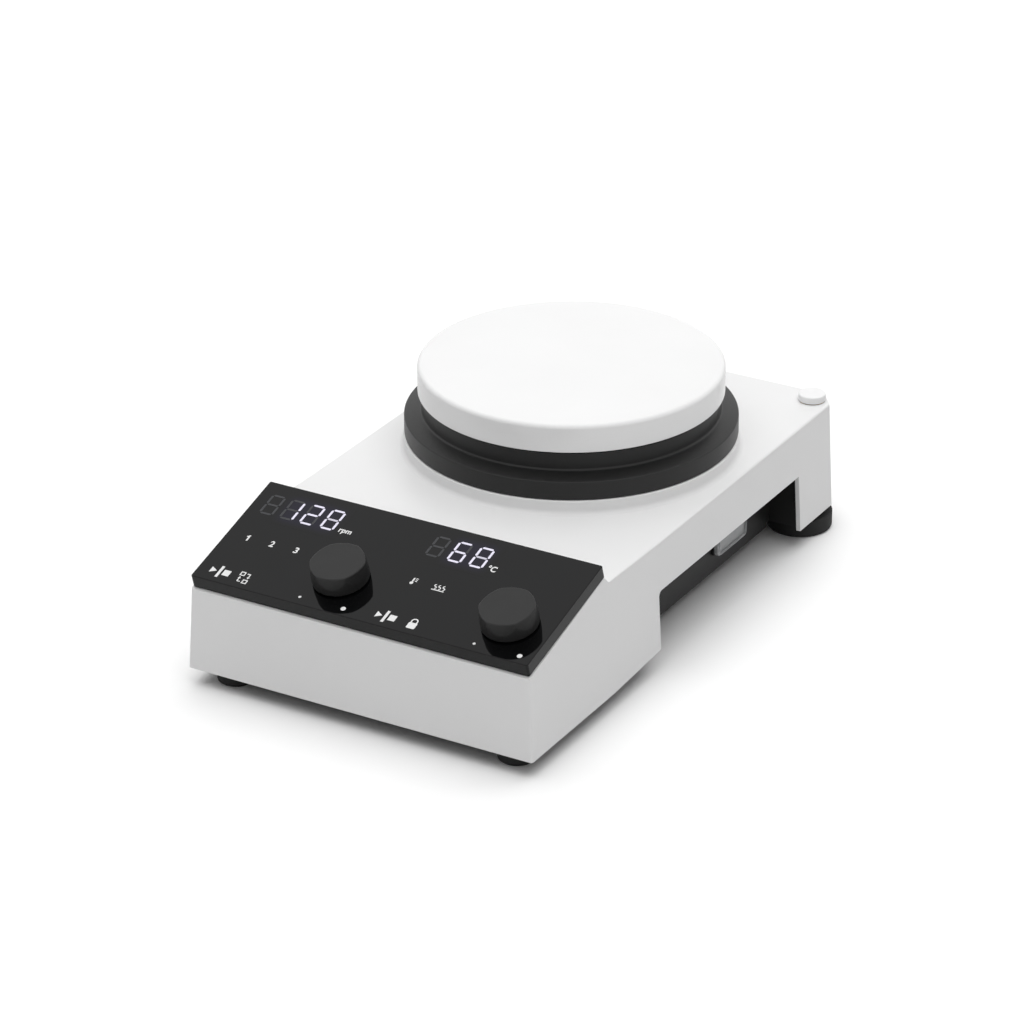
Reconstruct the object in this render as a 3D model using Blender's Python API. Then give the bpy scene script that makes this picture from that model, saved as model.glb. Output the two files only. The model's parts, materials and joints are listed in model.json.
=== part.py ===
"""Hotplate stirrer: a white bench instrument with a round ceramic-coated plate, a black collar,
a sloping glossy control panel with two push-and-turn knobs, four rubber feet and a mains switch.

Metres, +Z up. The origin is on the bench, at the middle of the footprint, and the controls face -Y.
"""

import math

import bmesh
import bpy
from mathutils import Matrix, Vector

for old_object in list(bpy.data.objects):
    bpy.data.objects.remove(old_object)

# Driving dimensions of the whole instrument
body_width = 0.168          # outer width where the skirt ends
skirt_height = 0.008        # underside of the front block above the bench
deck_height = 0.0596        # flat top of the housing
shell_wall = 0.002          # sides of the housing
deck_thickness = 0.0025     # flat top of the housing
side_draft_share = 0.05     # how far the sides lean in, per unit of height
front_draft_share = 0.04    # how far the front leans back, per unit of height
plate_diameter = 0.135

# Heights stacked on the deck
plinth_rise = 0.0066        # round plinth above the deck
collar_flange_height = 0.0088
collar_neck_rise = 0.0099   # neck of the collar above its flange
plate_rim_gap = 0.0008      # between the collar's neck and the rim of the plate
plate_height = 0.0128       # rim and top of the plate together

# Lengths from the front skirt to the axis of the plate
panel_front_setback = 0.0007    # top front edge of the panel behind the foot of the front skirt
panel_run = 0.0620              # plan length of the panel's top face
riser_foot_back = 0.0053        # the riser behind the panel meets the deck this far behind it
deck_front_gap = 0.0354         # bare deck between the riser and the plinth
plinth_overhang = 0.0065        # radius of the plinth beyond the plate's
plinth_foot_flare = 0.0024

# Lengths from that axis to the rear wall
motor_radius = 0.030
motor_board_gap = 0.0087
power_board_depth = 0.030
board_inlet_gap = 0.0055
inlet_depth = 0.026             # from the rear wall's face

# Clearances
seat_gap = 0.0003           # between pieces that rest on each other
running_gap = 0.0004        # round pieces that turn or slide
fit_gap = 0.0005            # round a piece that drops into a cut-out
overrun = 0.005             # how far a cutter reaches past what it cuts

# Roundness, in sides per turn
large_ring_sides = 56
medium_ring_sides = 28
small_ring_sides = 16
screw_sides = 10

# Places that follow from these
plate_radius = plate_diameter / 2
plinth_radius = plate_radius + plinth_overhang
axis_from_front = (panel_front_setback + panel_run + riser_foot_back + deck_front_gap
                   + plinth_foot_flare + plinth_radius)
axis_from_rear = motor_radius + motor_board_gap + power_board_depth + board_inlet_gap + inlet_depth
half_width = body_width / 2
half_length = (axis_from_front + axis_from_rear) / 2
plate_axis_y = half_length - axis_from_rear     # the plate and the motor share this vertical axis
power_board_y = half_length - inlet_depth - board_inlet_gap - power_board_depth / 2
plinth_top_height = deck_height + plinth_rise
collar_shoulder_height = plinth_top_height + collar_flange_height
collar_neck_height = collar_shoulder_height + collar_neck_rise
plate_rim_height = collar_neck_height + plate_rim_gap
plate_top_height = plate_rim_height + plate_height


# Materials
def material(name, colour, roughness, metallic=0.0, alpha=1.0):
    made = bpy.data.materials.new(name)
    made.use_nodes = True
    shader = made.node_tree.nodes["Principled BSDF"]
    shader.inputs["Base Color"].default_value = (*colour, 1.0)
    shader.inputs["Roughness"].default_value = roughness
    shader.inputs["Metallic"].default_value = metallic
    shader.inputs["Alpha"].default_value = alpha
    return made


white_paint = material("white_paint", (0.80, 0.80, 0.80), 0.35)
white_ceramic = material("white_ceramic", (0.86, 0.86, 0.86), 0.22)
white_plastic = material("white_plastic", (0.82, 0.82, 0.82), 0.40)
black_plastic = material("black_plastic", (0.012, 0.012, 0.013), 0.45)
black_panel = material("black_panel", (0.006, 0.006, 0.007), 0.08)
knob_plastic = material("knob_plastic", (0.030, 0.030, 0.032), 0.50)
black_rubber = material("black_rubber", (0.010, 0.010, 0.010), 0.75)
display_face = material("display_face", (0.020, 0.020, 0.022), 0.30)
clear_cover = material("clear_cover", (0.80, 0.82, 0.82), 0.10, alpha=0.45)
zinc_steel = material("zinc_steel", (0.60, 0.60, 0.60), 0.35, metallic=1.0)
bright_steel = material("bright_steel", (0.66, 0.66, 0.67), 0.22, metallic=1.0)
brass = material("brass", (0.72, 0.52, 0.22), 0.30, metallic=1.0)
aluminium = material("aluminium", (0.74, 0.75, 0.76), 0.35, metallic=1.0)
magnet_coat = material("magnet_coat", (0.50, 0.50, 0.52), 0.25, metallic=1.0)
copper_winding = material("copper_winding", (0.58, 0.24, 0.10), 0.40, metallic=1.0)
core_steel = material("core_steel", (0.22, 0.22, 0.23), 0.45, metallic=1.0)
board_green = material("board_green", (0.02, 0.16, 0.06), 0.40)
winding_tape = material("winding_tape", (0.70, 0.52, 0.10), 0.50)
fibre_white = material("fibre_white", (0.72, 0.70, 0.64), 0.90)


# Solid shapes
def finish(name, mesh_builder, surface):
    """Turn a bmesh into a named object with one material and smooth round sides."""
    bmesh.ops.recalc_face_normals(mesh_builder, faces=mesh_builder.faces)
    mesh = bpy.data.meshes.new(name)
    mesh_builder.to_mesh(mesh)
    mesh_builder.free()
    mesh.materials.append(surface)
    mesh.shade_smooth()
    mesh.set_sharp_from_angle(angle=math.radians(35))
    made = bpy.data.objects.new(name, mesh)
    bpy.context.scene.collection.objects.link(made)
    return made


def loft(name, lower, upper, lower_z, upper_z, surface=black_plastic):
    """A solid between two outlines with the same number of (x, y) points."""
    builder = bmesh.new()
    low = [builder.verts.new((x, y, lower_z)) for x, y in lower]
    high = [builder.verts.new((x, y, upper_z)) for x, y in upper]
    builder.faces.new(low[::-1])
    builder.faces.new(high)
    for i in range(len(low)):
        j = (i + 1) % len(low)
        builder.faces.new((low[i], low[j], high[j], high[i]))
    return finish(name, builder, surface)


def prism(name, outline, lower_z, upper_z, surface=black_plastic):
    """An outline of (x, y) points with straight sides along Z."""
    return loft(name, outline, outline, lower_z, upper_z, surface)


def side_prism(name, outline, half_width, surface=black_plastic):
    """A side view of (y, z) points with straight sides along X, centred on X = 0."""
    made = prism(name, outline, -half_width, half_width, surface)
    turn = Matrix(((0, 0, 1, 0), (1, 0, 0, 0), (0, 1, 0, 0), (0, 0, 0, 1)))
    made.data.transform(turn)
    return made


def box(name, x_range, y_range, z_range, surface=black_plastic):
    (x0, x1), (y0, y1) = x_range, y_range
    return prism(name, [(x0, y0), (x1, y0), (x1, y1), (x0, y1)], *z_range, surface)


def lathe(name, profile, sides, surface=black_plastic, centre=(0, 0, 0), axis="Z", grip=None):
    """A closed (radius, height) profile turned about an axis; grip(angle, height) scales the radius.

    A point at radius zero stands for a flat cap over the ring beside it.
    """
    builder = bmesh.new()
    rings = []
    for radius, height in profile:
        ring = []
        for step in range(sides if radius else 0):
            angle = 2 * math.pi * step / sides
            reach = radius * (grip(angle, height) if grip else 1)
            ring.append(builder.verts.new((reach * math.cos(angle), reach * math.sin(angle), height)))
        rings.append(ring)
    for ring, following in zip(rings, rings[1:] + rings[:1]):
        if ring and following:
            for step in range(sides):
                after = (step + 1) % sides
                builder.faces.new((ring[step], ring[after], following[after], following[step]))
        elif ring or following:
            builder.faces.new(ring or following)
    made = finish(name, builder, surface)
    if axis == "Y":
        made.data.transform(Matrix.Rotation(math.radians(-90), 4, "X"))
    made.data.transform(Matrix.Translation(centre))
    return made


def cylinder(name, radius, z_range, sides, surface=black_plastic, centre=(0, 0), axis="Z"):
    low, high = z_range
    place = (*centre, 0) if axis == "Z" else (centre[0], 0, centre[1])
    return lathe(name, [(0, low), (radius, low), (radius, high), (0, high)], sides, surface, place, axis)


def tube(name, outer, inner, z_range, sides, surface=black_plastic, centre=(0, 0), axis="Z"):
    low, high = z_range
    place = (*centre, 0) if axis == "Z" else (centre[0], 0, centre[1])
    profile = [(inner, low), (outer, low), (outer, high), (inner, high)]
    return lathe(name, profile, sides, surface, place, axis)


def combine(target, operation, *tools):
    """Apply an exact boolean with each tool and remove the tools."""
    for tool in tools:
        step = target.modifiers.new(operation.lower(), "BOOLEAN")
        step.operation = operation
        step.solver = "EXACT"
        step.object = tool
        bpy.context.view_layer.update()
        evaluated = target.evaluated_get(bpy.context.evaluated_depsgraph_get())
        solid = bpy.data.meshes.new_from_object(evaluated)
        target.modifiers.clear()
        target.data = solid
        bpy.data.objects.remove(tool)
    target.data.shade_smooth()
    target.data.set_sharp_from_angle(angle=math.radians(35))
    return target


def cut(target, *tools):
    return combine(target, "DIFFERENCE", *tools)


def join(target, *tools):
    return combine(target, "UNION", *tools)


def set_origin(made, point):
    """Move an object's origin to a world point and leave its mesh where it is."""
    made.data.transform(Matrix.Translation(-Vector(point)))
    made.location = point
    return made


def moved_inwards(outline, distance):
    """An outline whose edges all lie a distance inside those of a counter-clockwise outline."""
    corners = [Vector(point) for point in outline]
    inner = []
    for i, corner in enumerate(corners):
        before = (corner - corners[i - 1]).normalized()
        after = (corners[(i + 1) % len(corners)] - corner).normalized()
        normal_before = Vector((-before.y, before.x))
        normal_after = Vector((-after.y, after.x))
        middle = (normal_before + normal_after).normalized()
        inner.append(tuple(corner + middle * (distance / middle.dot(normal_before))))
    return inner


# Upper housing: outline, skirt and side recesses
rear_corner_length = 0.009      # the rear corners are cut off this far along the side
rear_corner_run = 0.007         # and this far along the rear wall
front_block_length = 0.1095     # from the front skirt to the open recess in each side
rear_leg_length = 0.0403        # from that recess to the rear wall
recess_top_height = 0.037
recess_corner_radius = 0.0025
leg_lift = 0.0022               # the rear legs end this much above the front block
corner_steps = 4

# Control panel and the seat it lies on
panel_thickness = 0.0062
panel_side_setback = 0.0025     # from the foot of the housing's side
panel_front_drop = 0.0077       # front edge of the panel's top face under the deck
panel_back_rise = 0.0102        # back edge above the deck
panel_corner_radius = 0.0008
riser_top_back = 0.0015
seat_thickness = 0.002
seat_window_margin_side = 0.0035
seat_window_margin_end = 0.0072

recess_front_y = front_block_length - half_length
recess_rear_y = half_length - rear_leg_length
panel_half_width = half_width - panel_side_setback
panel_front_height = deck_height - panel_front_drop
panel_back_height = deck_height + panel_back_rise
panel_front_y = -half_length + panel_front_setback
panel_back_y = panel_front_y + panel_run
panel_slope = math.atan2(panel_back_height - panel_front_height, panel_run)
panel_length = math.hypot(panel_run, panel_back_height - panel_front_height)
panel_centre = Vector((0, panel_front_y + panel_run / 2, (panel_front_height + panel_back_height) / 2))
panel_up = Vector((0, math.cos(panel_slope), math.sin(panel_slope)))
panel_normal = Vector((0, -math.sin(panel_slope), math.cos(panel_slope)))
riser_foot_y = panel_back_y + riser_foot_back
riser_top_y = panel_back_y + riser_top_back
deck_underside = deck_height - deck_thickness


def housing_outline(height):
    """Counter-clockwise plan outline of the housing's outside at a height."""
    rise = height - skirt_height
    x = half_width - side_draft_share * rise
    front = -half_length + front_draft_share * rise
    corner = half_length - rear_corner_length
    run = x - rear_corner_run
    return [(-x, front), (x, front), (x, corner), (run, half_length), (-run, half_length), (-x, corner)]


def seat_height(y, depth):
    """Height at y of a plane a depth below the panel's top face."""
    offset = panel_centre - panel_normal * depth
    return offset.z + (y - offset.y) * math.tan(panel_slope)


# The round plinth under the plate
plinth_wall = 0.0025
plinth_edge_radius = 0.0008
motor_opening_radius = 0.038

# Screw bosses between housing and tray, and the socket for a support rod
housing_boss_radius = 0.0045
front_screw_side_inset = 0.024      # from the housing's side
front_screw_length = 0.080          # from the front skirt
rear_screw_side_inset = 0.032
rear_screw_rear_inset = 0.016
rod_socket_side_inset = 0.0117
rod_socket_rear_inset = 0.0083
rod_boss_radius = 0.0085
rod_boss_depth = 0.022
rod_insert_radius = 0.0056

# Cut-outs in the rear wall
inlet_x = -0.0155
inlet_width = 0.028
inlet_tall = 0.030
inlet_flange = 0.002            # width of the flange behind the wall
probe_socket_x = 0.020
probe_socket_radius = 0.006

# Screws
housing_screw_head_radius = 0.0034
housing_screw_head_height = 0.0022
housing_screw_radius = 0.0016
housing_screw_reach = 0.020     # how far the thread reaches into the housing's boss
foot_screw_head_radius = 0.0040
foot_screw_head_height = 0.0024
foot_screw_radius = 0.0019
screw_hole_gap = 0.0003

# Tray: the black base that closes the housing from below
tray_lift = 0.0019              # underside of the tray above the skirt's edge
tray_floor = 0.002
tray_wall = 0.002
tray_lip_height = 0.022
tray_clearance = 0.0004
tray_waist_depth = 0.0175       # how far the waist lies inside the housing's foot
tray_waist_front_setback = 0.0015   # front end of the waist, behind the housing's recess edge
tray_waist_rear_setback = 0.0032    # and its rear end
tray_pan_drop = 0.0026          # the waist's floor hangs this much lower than the ends
foot_radius = 0.0148            # the rear feet; those under the front are smaller
foot_front_radius = 0.0083
foot_front_side_inset = 0.0150
foot_front_inset = 0.0137
foot_rear_side_inset = 0.0131
foot_rear_inset = 0.0152
foot_boss_radius = 0.0105
foot_front_boss_radius = 0.0075
front_post_radius = 0.007
rear_post_radius = 0.0132
front_post_cap = 0.002          # over the tip of the screw
rear_post_gap = 0.0031          # under the boss of the rod socket
foot_screw_reach = 0.013        # how far the thread reaches past the foot

tray_bottom_height = skirt_height + tray_lift
tray_floor_top = tray_bottom_height + tray_floor
tray_waist_half_width = half_width - tray_waist_depth
housing_boss_bottom = tray_floor_top + seat_gap
housing_screw_front = (half_width - front_screw_side_inset, front_screw_length - half_length)
housing_screw_rear = (half_width - rear_screw_side_inset, half_length - rear_screw_rear_inset)
rod_socket_x = half_width - rod_socket_side_inset
rod_socket_y = half_length - rod_socket_rear_inset
foot_front = (half_width - foot_front_side_inset, foot_front_inset - half_length)
foot_rear = (half_width - foot_rear_side_inset, half_length - foot_rear_inset)
front_post_top = skirt_height + foot_screw_reach + front_post_cap
rear_post_top = deck_height - rod_boss_depth - rear_post_gap
inlet_height = (tray_floor_top + deck_underside) / 2
probe_socket_height = inlet_height
sides = (("left", -1), ("right", 1))


def rounded_side_recess():
    """Side view of the recess, with its front upper corner rounded."""
    radius = recess_corner_radius
    points = [(recess_rear_y, recess_top_height), (recess_rear_y, -overrun), (recess_front_y, -overrun)]
    for step in range(corner_steps + 1):
        angle = math.pi / 2 * step / corner_steps
        y = recess_front_y + radius - radius * math.cos(angle)
        points.append((y, recess_top_height - radius + radius * math.sin(angle)))
    return points


def upper_housing():
    top = panel_back_height
    outside = loft("outside", housing_outline(0), housing_outline(top), 0, top)
    front = -half_length - overrun
    back = half_length + overrun
    seat_depth = panel_thickness + seat_gap
    side_view = [
        (front, skirt_height),
        (recess_front_y + overrun, skirt_height),
        (recess_front_y + overrun, skirt_height + leg_lift),
        (back, skirt_height + leg_lift),
        (back, deck_height),
        (riser_foot_y, deck_height),
        (riser_top_y, seat_height(riser_top_y, seat_depth)),
        (front, seat_height(front, seat_depth)),
    ]
    shell = side_prism("upper_housing", side_view, body_width, white_paint)
    combine(shell, "INTERSECT", outside)

    hollow = loft("hollow", moved_inwards(housing_outline(0), shell_wall),
                  moved_inwards(housing_outline(top), shell_wall), 0, top)
    inner_depth = seat_depth + seat_thickness
    inner_turn_y = riser_foot_y - deck_thickness
    inner_top_y = riser_top_y - seat_thickness
    inner_view = [
        (front, -overrun),
        (back, -overrun),
        (back, deck_underside),
        (inner_turn_y, deck_underside),
        (inner_top_y, seat_height(inner_top_y, inner_depth)),
        (front, seat_height(front, inner_depth)),
    ]
    hollow_view = side_prism("hollow_view", inner_view, body_width)
    combine(hollow_view, "INTERSECT", hollow)

    plinth_under = plinth_top_height - plinth_wall
    plinth_inner = plinth_radius - plinth_wall
    edge = plinth_edge_radius
    plinth = lathe("plinth", [
        (0, deck_underside),
        (plinth_radius + plinth_foot_flare, deck_underside),
        (plinth_radius + plinth_foot_flare, deck_height),
        (plinth_radius, deck_height + plinth_foot_flare),
        (plinth_radius, plinth_top_height - edge),
        (plinth_radius - edge, plinth_top_height),
        (0, plinth_top_height),
    ], large_ring_sides, white_paint, (0, plate_axis_y, 0))
    join(shell, plinth)
    cut(shell, hollow_view)
    cut(shell, cylinder("plinth_hollow", plinth_inner, (deck_underside - overrun, plinth_under),
                        large_ring_sides, centre=(0, plate_axis_y)))
    cut(shell, cylinder("motor_opening", motor_opening_radius, (plinth_under - overrun,
                        plinth_top_height + overrun), medium_ring_sides, centre=(0, plate_axis_y)))

    boss_top = deck_height - deck_thickness / 2
    for _, side in sides:
        for x, y in (housing_screw_front, housing_screw_rear):
            join(shell, cylinder("boss", housing_boss_radius, (housing_boss_bottom, boss_top),
                                 small_ring_sides, centre=(side * x, y)))
    rod_boss = cylinder("rod_boss", rod_boss_radius, (deck_height - rod_boss_depth, boss_top),
                        medium_ring_sides, centre=(rod_socket_x, rod_socket_y))
    inner_edge = loft("inner_edge", moved_inwards(housing_outline(0), shell_wall / 2),
                      moved_inwards(housing_outline(top), shell_wall / 2), 0, top)
    combine(rod_boss, "INTERSECT", inner_edge)
    join(shell, rod_boss)

    cut(shell, side_prism("recess", rounded_side_recess(), body_width))
    pilot = housing_screw_radius + screw_hole_gap
    pilot_top = housing_boss_bottom + housing_screw_reach
    for _, side in sides:
        for x, y in (housing_screw_front, housing_screw_rear):
            cut(shell, cylinder("pilot", pilot, (housing_boss_bottom - overrun, pilot_top),
                                screw_sides, centre=(side * x, y)))
    cut(shell, cylinder("rod_hole", rod_insert_radius + seat_gap,
                        (deck_height - rod_boss_depth - overrun, deck_height + overrun),
                        small_ring_sides, centre=(rod_socket_x, rod_socket_y)))

    rear_range = (half_length - shell_wall - overrun, half_length + overrun)
    cut(shell, box("inlet_hole", (inlet_x - inlet_width / 2 - fit_gap, inlet_x + inlet_width / 2 + fit_gap),
                   rear_range, (inlet_height - inlet_tall / 2 - fit_gap,
                                inlet_height + inlet_tall / 2 + fit_gap)))
    cut(shell, cylinder("probe_hole", probe_socket_radius + seat_gap, rear_range, small_ring_sides,
                        centre=(probe_socket_x, probe_socket_height), axis="Y"))

    window = box("window", (-panel_half_width + seat_window_margin_side,
                            panel_half_width - seat_window_margin_side),
                 (-panel_length / 2 + seat_window_margin_end, panel_length / 2 - seat_window_margin_end),
                 (-panel_thickness - overrun, 0))
    window.data.transform(Matrix.Translation(panel_centre) @ Matrix.Rotation(panel_slope, 4, "X"))
    cut(shell, window)
    return shell


def tray_outline():
    """Counter-clockwise plan of the tray: full width at both ends, with a narrow waist."""
    outer = moved_inwards(housing_outline(tray_lip_height), shell_wall + tray_clearance)
    (_, front), (wide, _), (_, corner), (run, back) = outer[:4]
    waist = tray_waist_half_width
    waist_front = recess_front_y - tray_waist_front_setback
    waist_rear = recess_rear_y + tray_waist_rear_setback
    right = [(wide, front), (wide, waist_front), (waist, waist_front), (waist, waist_rear),
             (wide, waist_rear), (wide, corner), (run, back)]
    return right + [(-x, y) for x, y in reversed(right)]


# Mains switch in the right-hand wall of the tray's waist, just ahead of the power board
switch_board_gap = 0.0060
switch_height = 0.0265
switch_bezel_length = 0.0274
switch_bezel_tall = 0.021
switch_bezel_thickness = 0.0010
switch_body_length = 0.0236
switch_body_tall = 0.0170
switch_body_depth = 0.018

switch_y = power_board_y - power_board_depth / 2 - switch_board_gap - switch_body_length / 2


# Power board, on pegs of the tray, and what stands on it
power_board_side_gap = 0.0045   # to the walls of the tray's waist
power_board_lift = 0.0041       # above the tray's floor
board_thickness = 0.0016
board_peg_radius = 0.003
board_peg_inset = 0.005
component_margin = 0.003        # from the board's left edge to the transformer
component_gap = 0.008           # between the pieces on the board
transformer_size = (0.034, 0.028, 0.024)
capacitor_radius = 0.009
capacitor_tall = 0.026
heat_sink_size = (0.014, 0.026, 0.024)
heat_sink_fin = 0.0018
heat_sink_base = 0.003
heat_sink_fins = 3

power_board_half_width = tray_waist_half_width - tray_wall - power_board_side_gap
power_board_height = tray_floor_top + power_board_lift
transformer_x = -power_board_half_width + component_margin + transformer_size[0] / 2
capacitor_x = transformer_x + transformer_size[0] / 2 + component_gap + capacitor_radius
heat_sink_x = capacitor_x + capacitor_radius + component_gap + heat_sink_size[0] / 2


def base_tray():
    outline = tray_outline()
    tray = prism("base_tray", outline, tray_bottom_height, tray_lip_height, black_plastic)
    cut(tray, prism("pan", moved_inwards(outline, tray_wall), tray_floor_top, tray_lip_height + overrun))

    waist = tray_waist_half_width
    wall_top = deck_underside - seat_gap
    reach = moved_inwards(housing_outline(deck_height), shell_wall + tray_clearance)[1][0]
    waist_front = recess_front_y - tray_waist_front_setback
    waist_rear = recess_rear_y + tray_waist_rear_setback
    for _, side in sides:
        wall = [(waist, waist_front), (reach, waist_front), (reach, waist_front - tray_wall),
                (waist - tray_wall, waist_front - tray_wall), (waist - tray_wall, waist_rear + tray_wall),
                (reach, waist_rear + tray_wall), (reach, waist_rear), (waist, waist_rear)]
        wall = [(side * x, y) for x, y in wall]
        join(tray, prism("waist_wall", wall, tray_bottom_height + tray_floor / 2, wall_top))

    middle = [(waist, waist_front), (waist, waist_rear), (-waist, waist_rear), (-waist, waist_front)]
    middle_low = tray_bottom_height - tray_pan_drop
    join(tray, prism("middle_pan", middle, middle_low, tray_floor_top - tray_floor / 2))
    cut(tray, prism("middle_hollow", moved_inwards(middle, tray_wall), middle_low + tray_floor,
                    tray_lip_height + overrun))

    foot_top = skirt_height + seat_gap
    inside = prism("inside", moved_inwards(housing_outline(rear_post_top), shell_wall + tray_clearance),
                   0, deck_height)
    for _, side in sides:
        x, y = foot_rear
        post = cylinder("post", rear_post_radius, (tray_bottom_height, rear_post_top), medium_ring_sides,
                        centre=(side * x, y))
        keep = inside.copy()
        keep.data = inside.data.copy()
        bpy.context.scene.collection.objects.link(keep)
        combine(post, "INTERSECT", keep)
        join(tray, post)
        x, y = foot_front
        join(tray, cylinder("post", front_post_radius, (tray_bottom_height + tray_floor / 2, front_post_top),
                            small_ring_sides, centre=(side * x, y)))
        for (x, y), radius in ((foot_front, foot_front_boss_radius), (foot_rear, foot_boss_radius)):
            join(tray, cylinder("foot_boss", radius, (foot_top, tray_bottom_height + tray_floor / 2),
                                medium_ring_sides, centre=(side * x, y)))
            cut(tray, cylinder("foot_screw_hole", foot_screw_radius + screw_hole_gap,
                               (foot_top - overrun, foot_top + foot_screw_reach + seat_gap),
                               screw_sides, centre=(side * x, y)))
        for x, y in (housing_screw_front, housing_screw_rear):
            cut(tray, cylinder("housing_screw_hole", housing_screw_radius + screw_hole_gap,
                               (tray_bottom_height - overrun, tray_floor_top + overrun),
                               screw_sides, centre=(side * x, y)))
    bpy.data.objects.remove(inside)

    cut(tray, box("switch_hole", (waist - tray_wall - overrun, waist + overrun),
                  (switch_y - switch_body_length / 2 - seat_gap, switch_y + switch_body_length / 2 + seat_gap),
                  (switch_height - switch_body_tall / 2 - seat_gap,
                   switch_height + switch_body_tall / 2 + seat_gap)))
    notch = inlet_width / 2 + inlet_flange + fit_gap
    cut(tray, box("inlet_notch", (inlet_x - notch, inlet_x + notch),
                  (half_length - shell_wall - tray_clearance - 2 * tray_wall, half_length),
                  (tray_floor_top, tray_lip_height + overrun)))
    peg_top = power_board_height - seat_gap
    for x in (board_peg_inset - power_board_half_width, power_board_half_width - board_peg_inset):
        for y in (power_board_y - power_board_depth / 2 + board_peg_inset,
                  power_board_y + power_board_depth / 2 - board_peg_inset):
            join(tray, cylinder("board_peg", board_peg_radius, (middle_low + tray_floor / 2, peg_top),
                                screw_sides, centre=(x, y)))
    return tray


def standing_block(name, x, size, surface):
    low = power_board_height + board_thickness + seat_gap
    width, depth, tall = size
    return box(name, (x - width / 2, x + width / 2), (power_board_y - depth / 2, power_board_y + depth / 2),
               (low, low + tall), surface)


def power_electronics():
    box("power_board", (-power_board_half_width, power_board_half_width),
        (power_board_y - power_board_depth / 2, power_board_y + power_board_depth / 2),
        (power_board_height, power_board_height + board_thickness), board_green)
    standing_block("transformer", transformer_x, transformer_size, winding_tape)
    low = power_board_height + board_thickness + seat_gap
    cylinder("capacitor", capacitor_radius, (low, low + capacitor_tall), small_ring_sides,
             core_steel, (capacitor_x, power_board_y))
    sink = standing_block("heat_sink", heat_sink_x, heat_sink_size, aluminium)
    width, depth, tall = heat_sink_size
    pitch = (width - heat_sink_fin) / (heat_sink_fins - 1)
    for i in range(heat_sink_fins - 1):
        start = heat_sink_x - width / 2 + heat_sink_fin + i * pitch
        cut(sink, box("channel", (start, start + pitch - heat_sink_fin),
                      (power_board_y - depth, power_board_y + depth),
                      (low + heat_sink_base, low + tall + overrun)))


# Feet and screws
foot_edge_radius = 0.0014
foot_front_edge_radius = 0.0015
foot_bore_radius = 0.0046
foot_bore_depth = 0.0057
foot_edge_steps = 2


def foot_profile(radius, edge):
    hole = foot_screw_radius + screw_hole_gap
    profile = [(foot_bore_radius, 0)]
    for step in range(foot_edge_steps + 1):
        angle = math.pi / 2 * step / foot_edge_steps
        profile.append((radius - edge + edge * math.sin(angle), edge - edge * math.cos(angle)))
    profile += [(radius, skirt_height), (hole, skirt_height), (hole, foot_bore_depth),
                (foot_bore_radius, foot_bore_depth)]
    return profile


def screw(name, place, head_radius, head_z, shank_radius, tip_z):
    low, high = head_z
    profile = [(0, low), (head_radius, low), (head_radius, high), (shank_radius, high),
               (shank_radius, tip_z), (0, tip_z)]
    return lathe(name, profile, screw_sides, zinc_steel, (*place, 0))


def feet_and_screws():
    front_profile = foot_profile(foot_front_radius, foot_front_edge_radius)
    rear_profile = foot_profile(foot_radius, foot_edge_radius)
    for side_name, side in sides:
        for end, (x, y), profile in (("front", foot_front, front_profile), ("rear", foot_rear, rear_profile)):
            place = (side * x, y)
            lathe(f"foot_{end}_{side_name}", profile, medium_ring_sides, black_rubber, (*place, 0))
            head_top = foot_bore_depth - seat_gap
            screw(f"foot_screw_{end}_{side_name}", place, foot_screw_head_radius,
                  (head_top - foot_screw_head_height, head_top), foot_screw_radius,
                  skirt_height + foot_screw_reach)
        for end, (x, y) in (("front", housing_screw_front), ("rear", housing_screw_rear)):
            head_top = tray_bottom_height - seat_gap
            screw(f"housing_screw_{end}_{side_name}", (side * x, y), housing_screw_head_radius,
                  (head_top - housing_screw_head_height, head_top), housing_screw_radius,
                  housing_boss_bottom + housing_screw_reach - seat_gap)


# Support-rod socket: threaded insert and push-in plug
rod_insert_bore = 0.00425
rod_insert_length = 0.019
plug_head_radius = 0.0062
plug_head_height = 0.0032
plug_edge = 0.0006
plug_stem_length = 0.009


def rod_socket():
    place = (rod_socket_x, rod_socket_y)
    insert_top = deck_height - seat_gap
    tube("rod_insert", rod_insert_radius, rod_insert_bore, (insert_top - rod_insert_length, insert_top),
         small_ring_sides, brass, place)
    under = deck_height + seat_gap
    top = under + plug_head_height
    stem = rod_insert_bore - running_gap
    plug = lathe("rod_socket_plug", [
        (0, under - plug_stem_length),
        (stem - plug_edge, under - plug_stem_length),
        (stem, under - plug_stem_length + plug_edge),
        (stem, under),
        (plug_head_radius, under),
        (plug_head_radius, top - plug_edge),
        (plug_head_radius - plug_edge, top),
        (0, top),
    ], medium_ring_sides, white_plastic, (*place, 0))
    set_origin(plug, (*place, under))


# Heated plate, its element and what holds them
plate_thickness = 0.0043
plate_rim_wall = 0.003
plate_edge_radius = 0.002
plate_edge_steps = 4
plate_lower_edge = 0.0005
element_width = 0.018
element_thickness = 0.003
element_gap_width = 0.012
element_standoff_gap = 0.002
insulation_edge = 0.0055        # edge of the insulation inside that of the plate
insulation_thickness = 0.0043
shield_edge = 0.0035
shield_thickness = 0.0008
standoff_radius = 0.004
standoff_edge = 0.0135          # the standoffs' circle inside the edge of the plate
standoff_count = 3
sensor_radius = 0.0025
sensor_length = 0.009
collar_edge = 0.0004            # edge of the collar inside that of the plinth
collar_wall = 0.0026
collar_shoulder_rise = 0.0016
collar_shoulder_edge = 0.0007
collar_neck_edge = 0.0016       # neck of the collar inside the edge of the plate
collar_neck_wall = 0.003
collar_bottom_edge = 0.0004

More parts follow.
